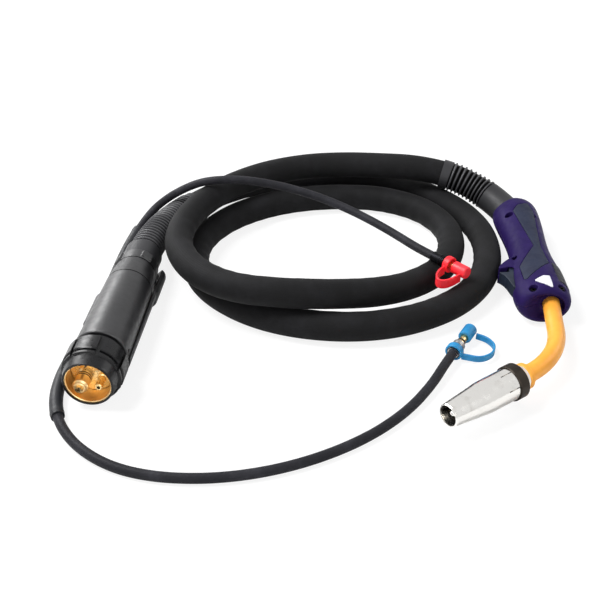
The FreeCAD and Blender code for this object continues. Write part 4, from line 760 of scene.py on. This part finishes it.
def boot(name, line, sizes, node):
    """One boot: the line it follows and its sizes in metres or counts."""
    curve = bpy.data.curves.new(name, "CURVE")
    curve.dimensions = "3D"
    spline = curve.splines.new("POLY")
    spline.points.add(len(line) - 1)
    for spot, point in zip(spline.points, line):
        spot.co = (*point, 1.0)
    thing = bpy.data.objects.new(name, curve)
    bpy.context.scene.collection.objects.link(thing)
    rule = thing.modifiers.new("ribs", "NODES")
    rule.node_group = BOOT_TREE
    for item in BOOT_TREE.interface.items_tree:
        if item.in_out == "INPUT" and item.name in sizes:
            rule[item.identifier] = float(sizes[item.name])
    depsgraph = bpy.context.evaluated_depsgraph_get()
    mesh = bpy.data.meshes.new_from_object(thing.evaluated_get(depsgraph))
    bpy.data.objects.remove(thing)
    made = bpy.data.objects.new(name, mesh)
    bpy.context.scene.collection.objects.link(made)
    soften_shading(mesh, 50.0)
    outward(mesh)
    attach(made, "torch")
    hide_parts(node)
    print("%s: %d faces" % (name, len(mesh.polygons)))
    return made


FINE_STEP = 0.5


def stretch(line, start_mm, stop_mm):
    """The points of a line between two distances."""
    fine = even(line, FINE_STEP * MM)
    return fine[int(start_mm / FINE_STEP):int(stop_mm / FINE_STEP) + 1]


REAR_END = line_length(HOSE_LINE) / MM - 2.6
REAR_LENGTH = 150.0
handle_boot = boot("handle_ribbed_boot", stretch(HOSE_LINE, 27.0, 117.0), {
    "First Radius": 15.9 * MM, "First End": 33.0 * MM, "Rib Root": 14.4 * MM, "Rib Height": 2.0 * MM,
    "Rib Count": 9, "Last Start": 80.0 * MM, "Last Radius": 15.8 * MM}, "handle_boot")
machine_boot = boot("machine_ribbed_boot", stretch(HOSE_LINE, REAR_END - REAR_LENGTH, REAR_END), {
    "First Radius": 15.6 * MM, "First End": 8.0 * MM, "Rib Root": 14.4 * MM, "Rib Height": 2.2 * MM,
    "Rib Count": 24, "Last Start": 129.0 * MM, "Last Radius": 18.5 * MM}, "machine_boot")

# %% [markdown]
# ## The handle
# The casing is two moulded shells. The machined solids already have the form, the beds, the cup and the
# guard, but their edges are knife sharp. A voxel skin followed by a few rounds of smoothing gives every
# edge the small radius of a real mould, and leaves the parting line as a fine groove.

# %% Casing, trims and trigger
softened("casing_top", "handle_shell_top", 0.55, 5, PURPLE)
softened("casing_bottom", "handle_shell_bottom", 0.55, 5, PURPLE)
softened("soft_inlay_top", "grip_inlay_top", 0.4, 3, SLATE)
softened("soft_inlay_bottom", "grip_inlay_bottom", 0.4, 3, SLATE)
softened("bare_label_plate", "label_plate", 0.3, 3, LABEL)
softened("soft_thumb_pad", "thumb_pad", 0.4, 3, PAD)
softened("moulded_trigger", "trigger", 0.4, 5, TRIGGER_PLASTIC, body="trigger_body")

# %% [markdown]
# ## Neck, nozzle and connector
# These are turned or bent parts, so the solids are right as they are and only need their finish.

# %% Finishes on turned parts
dress(LACQUER, "swan_neck", "neck_flange")
dress(BRASS, "tip_holder", "neck_clamp_block", "connector_block", "liner_nut",
      "supply_coupling_nipple", "return_coupling_nipple", "gas_nipple")
# The parts inside the nut get the brass copy that is painted lighter against the bore's shade.
dress(BRASS_BORE, "nut_thread_insert", "main_spigot", "contact_pin_left", "contact_pin_right")
dress(COPPER, "neck_inner_tube")
dress(NICKEL, "gas_nozzle", "nozzle_seat", "contact_tip")
dress(BAND, "nozzle_spring_band")
dress(INSULATOR, "gas_diffuser", "contact_pin_bushes", "switch_plunger")
dress(OXIDE, "handle_screws", "housing_screws", "return_ferrule")
dress(STEEL, "trigger_pin", "supply_ferrule")
dress(WIRE, "trigger_spring", "contact_spring_left", "contact_spring_right", "nut_retaining_ring")
dress(SEAL, "spigot_seals", "supply_coupling_seal", "return_coupling_seal", "conduit_grommets")
dress(BLACK, "microswitch")
dress(NUT_BLACK, "connector_nut")
dress(CONDUIT, "wire_conduit")
softened("outlet_cowl", "hose_outlet_cowl", 0.7, 6, BLACK)
housing = softened("moulded_housing", "connector_housing", 0.6, 4, JOINTED)
collar = softened("moulded_rear_collar", "housing_rear_collar", 0.6, 4, JOINTED)
latch_ring = softened("moulded_latch_ring", "boot_latch_ring", 0.5, 5, JOINTED)
red_cap = softened("soft_red_cap", "red_cap", 0.3, 5, RED, body="red_cap_body")
red_strap = softened("soft_red_strap", "red_cap_strap", 0.3, 4, RED)
blue_cap = softened("soft_blue_cap", "blue_cap", 0.3, 5, BLUE, body="blue_cap_body")
blue_strap = softened("soft_blue_strap", "blue_cap_strap", 0.3, 4, BLUE)
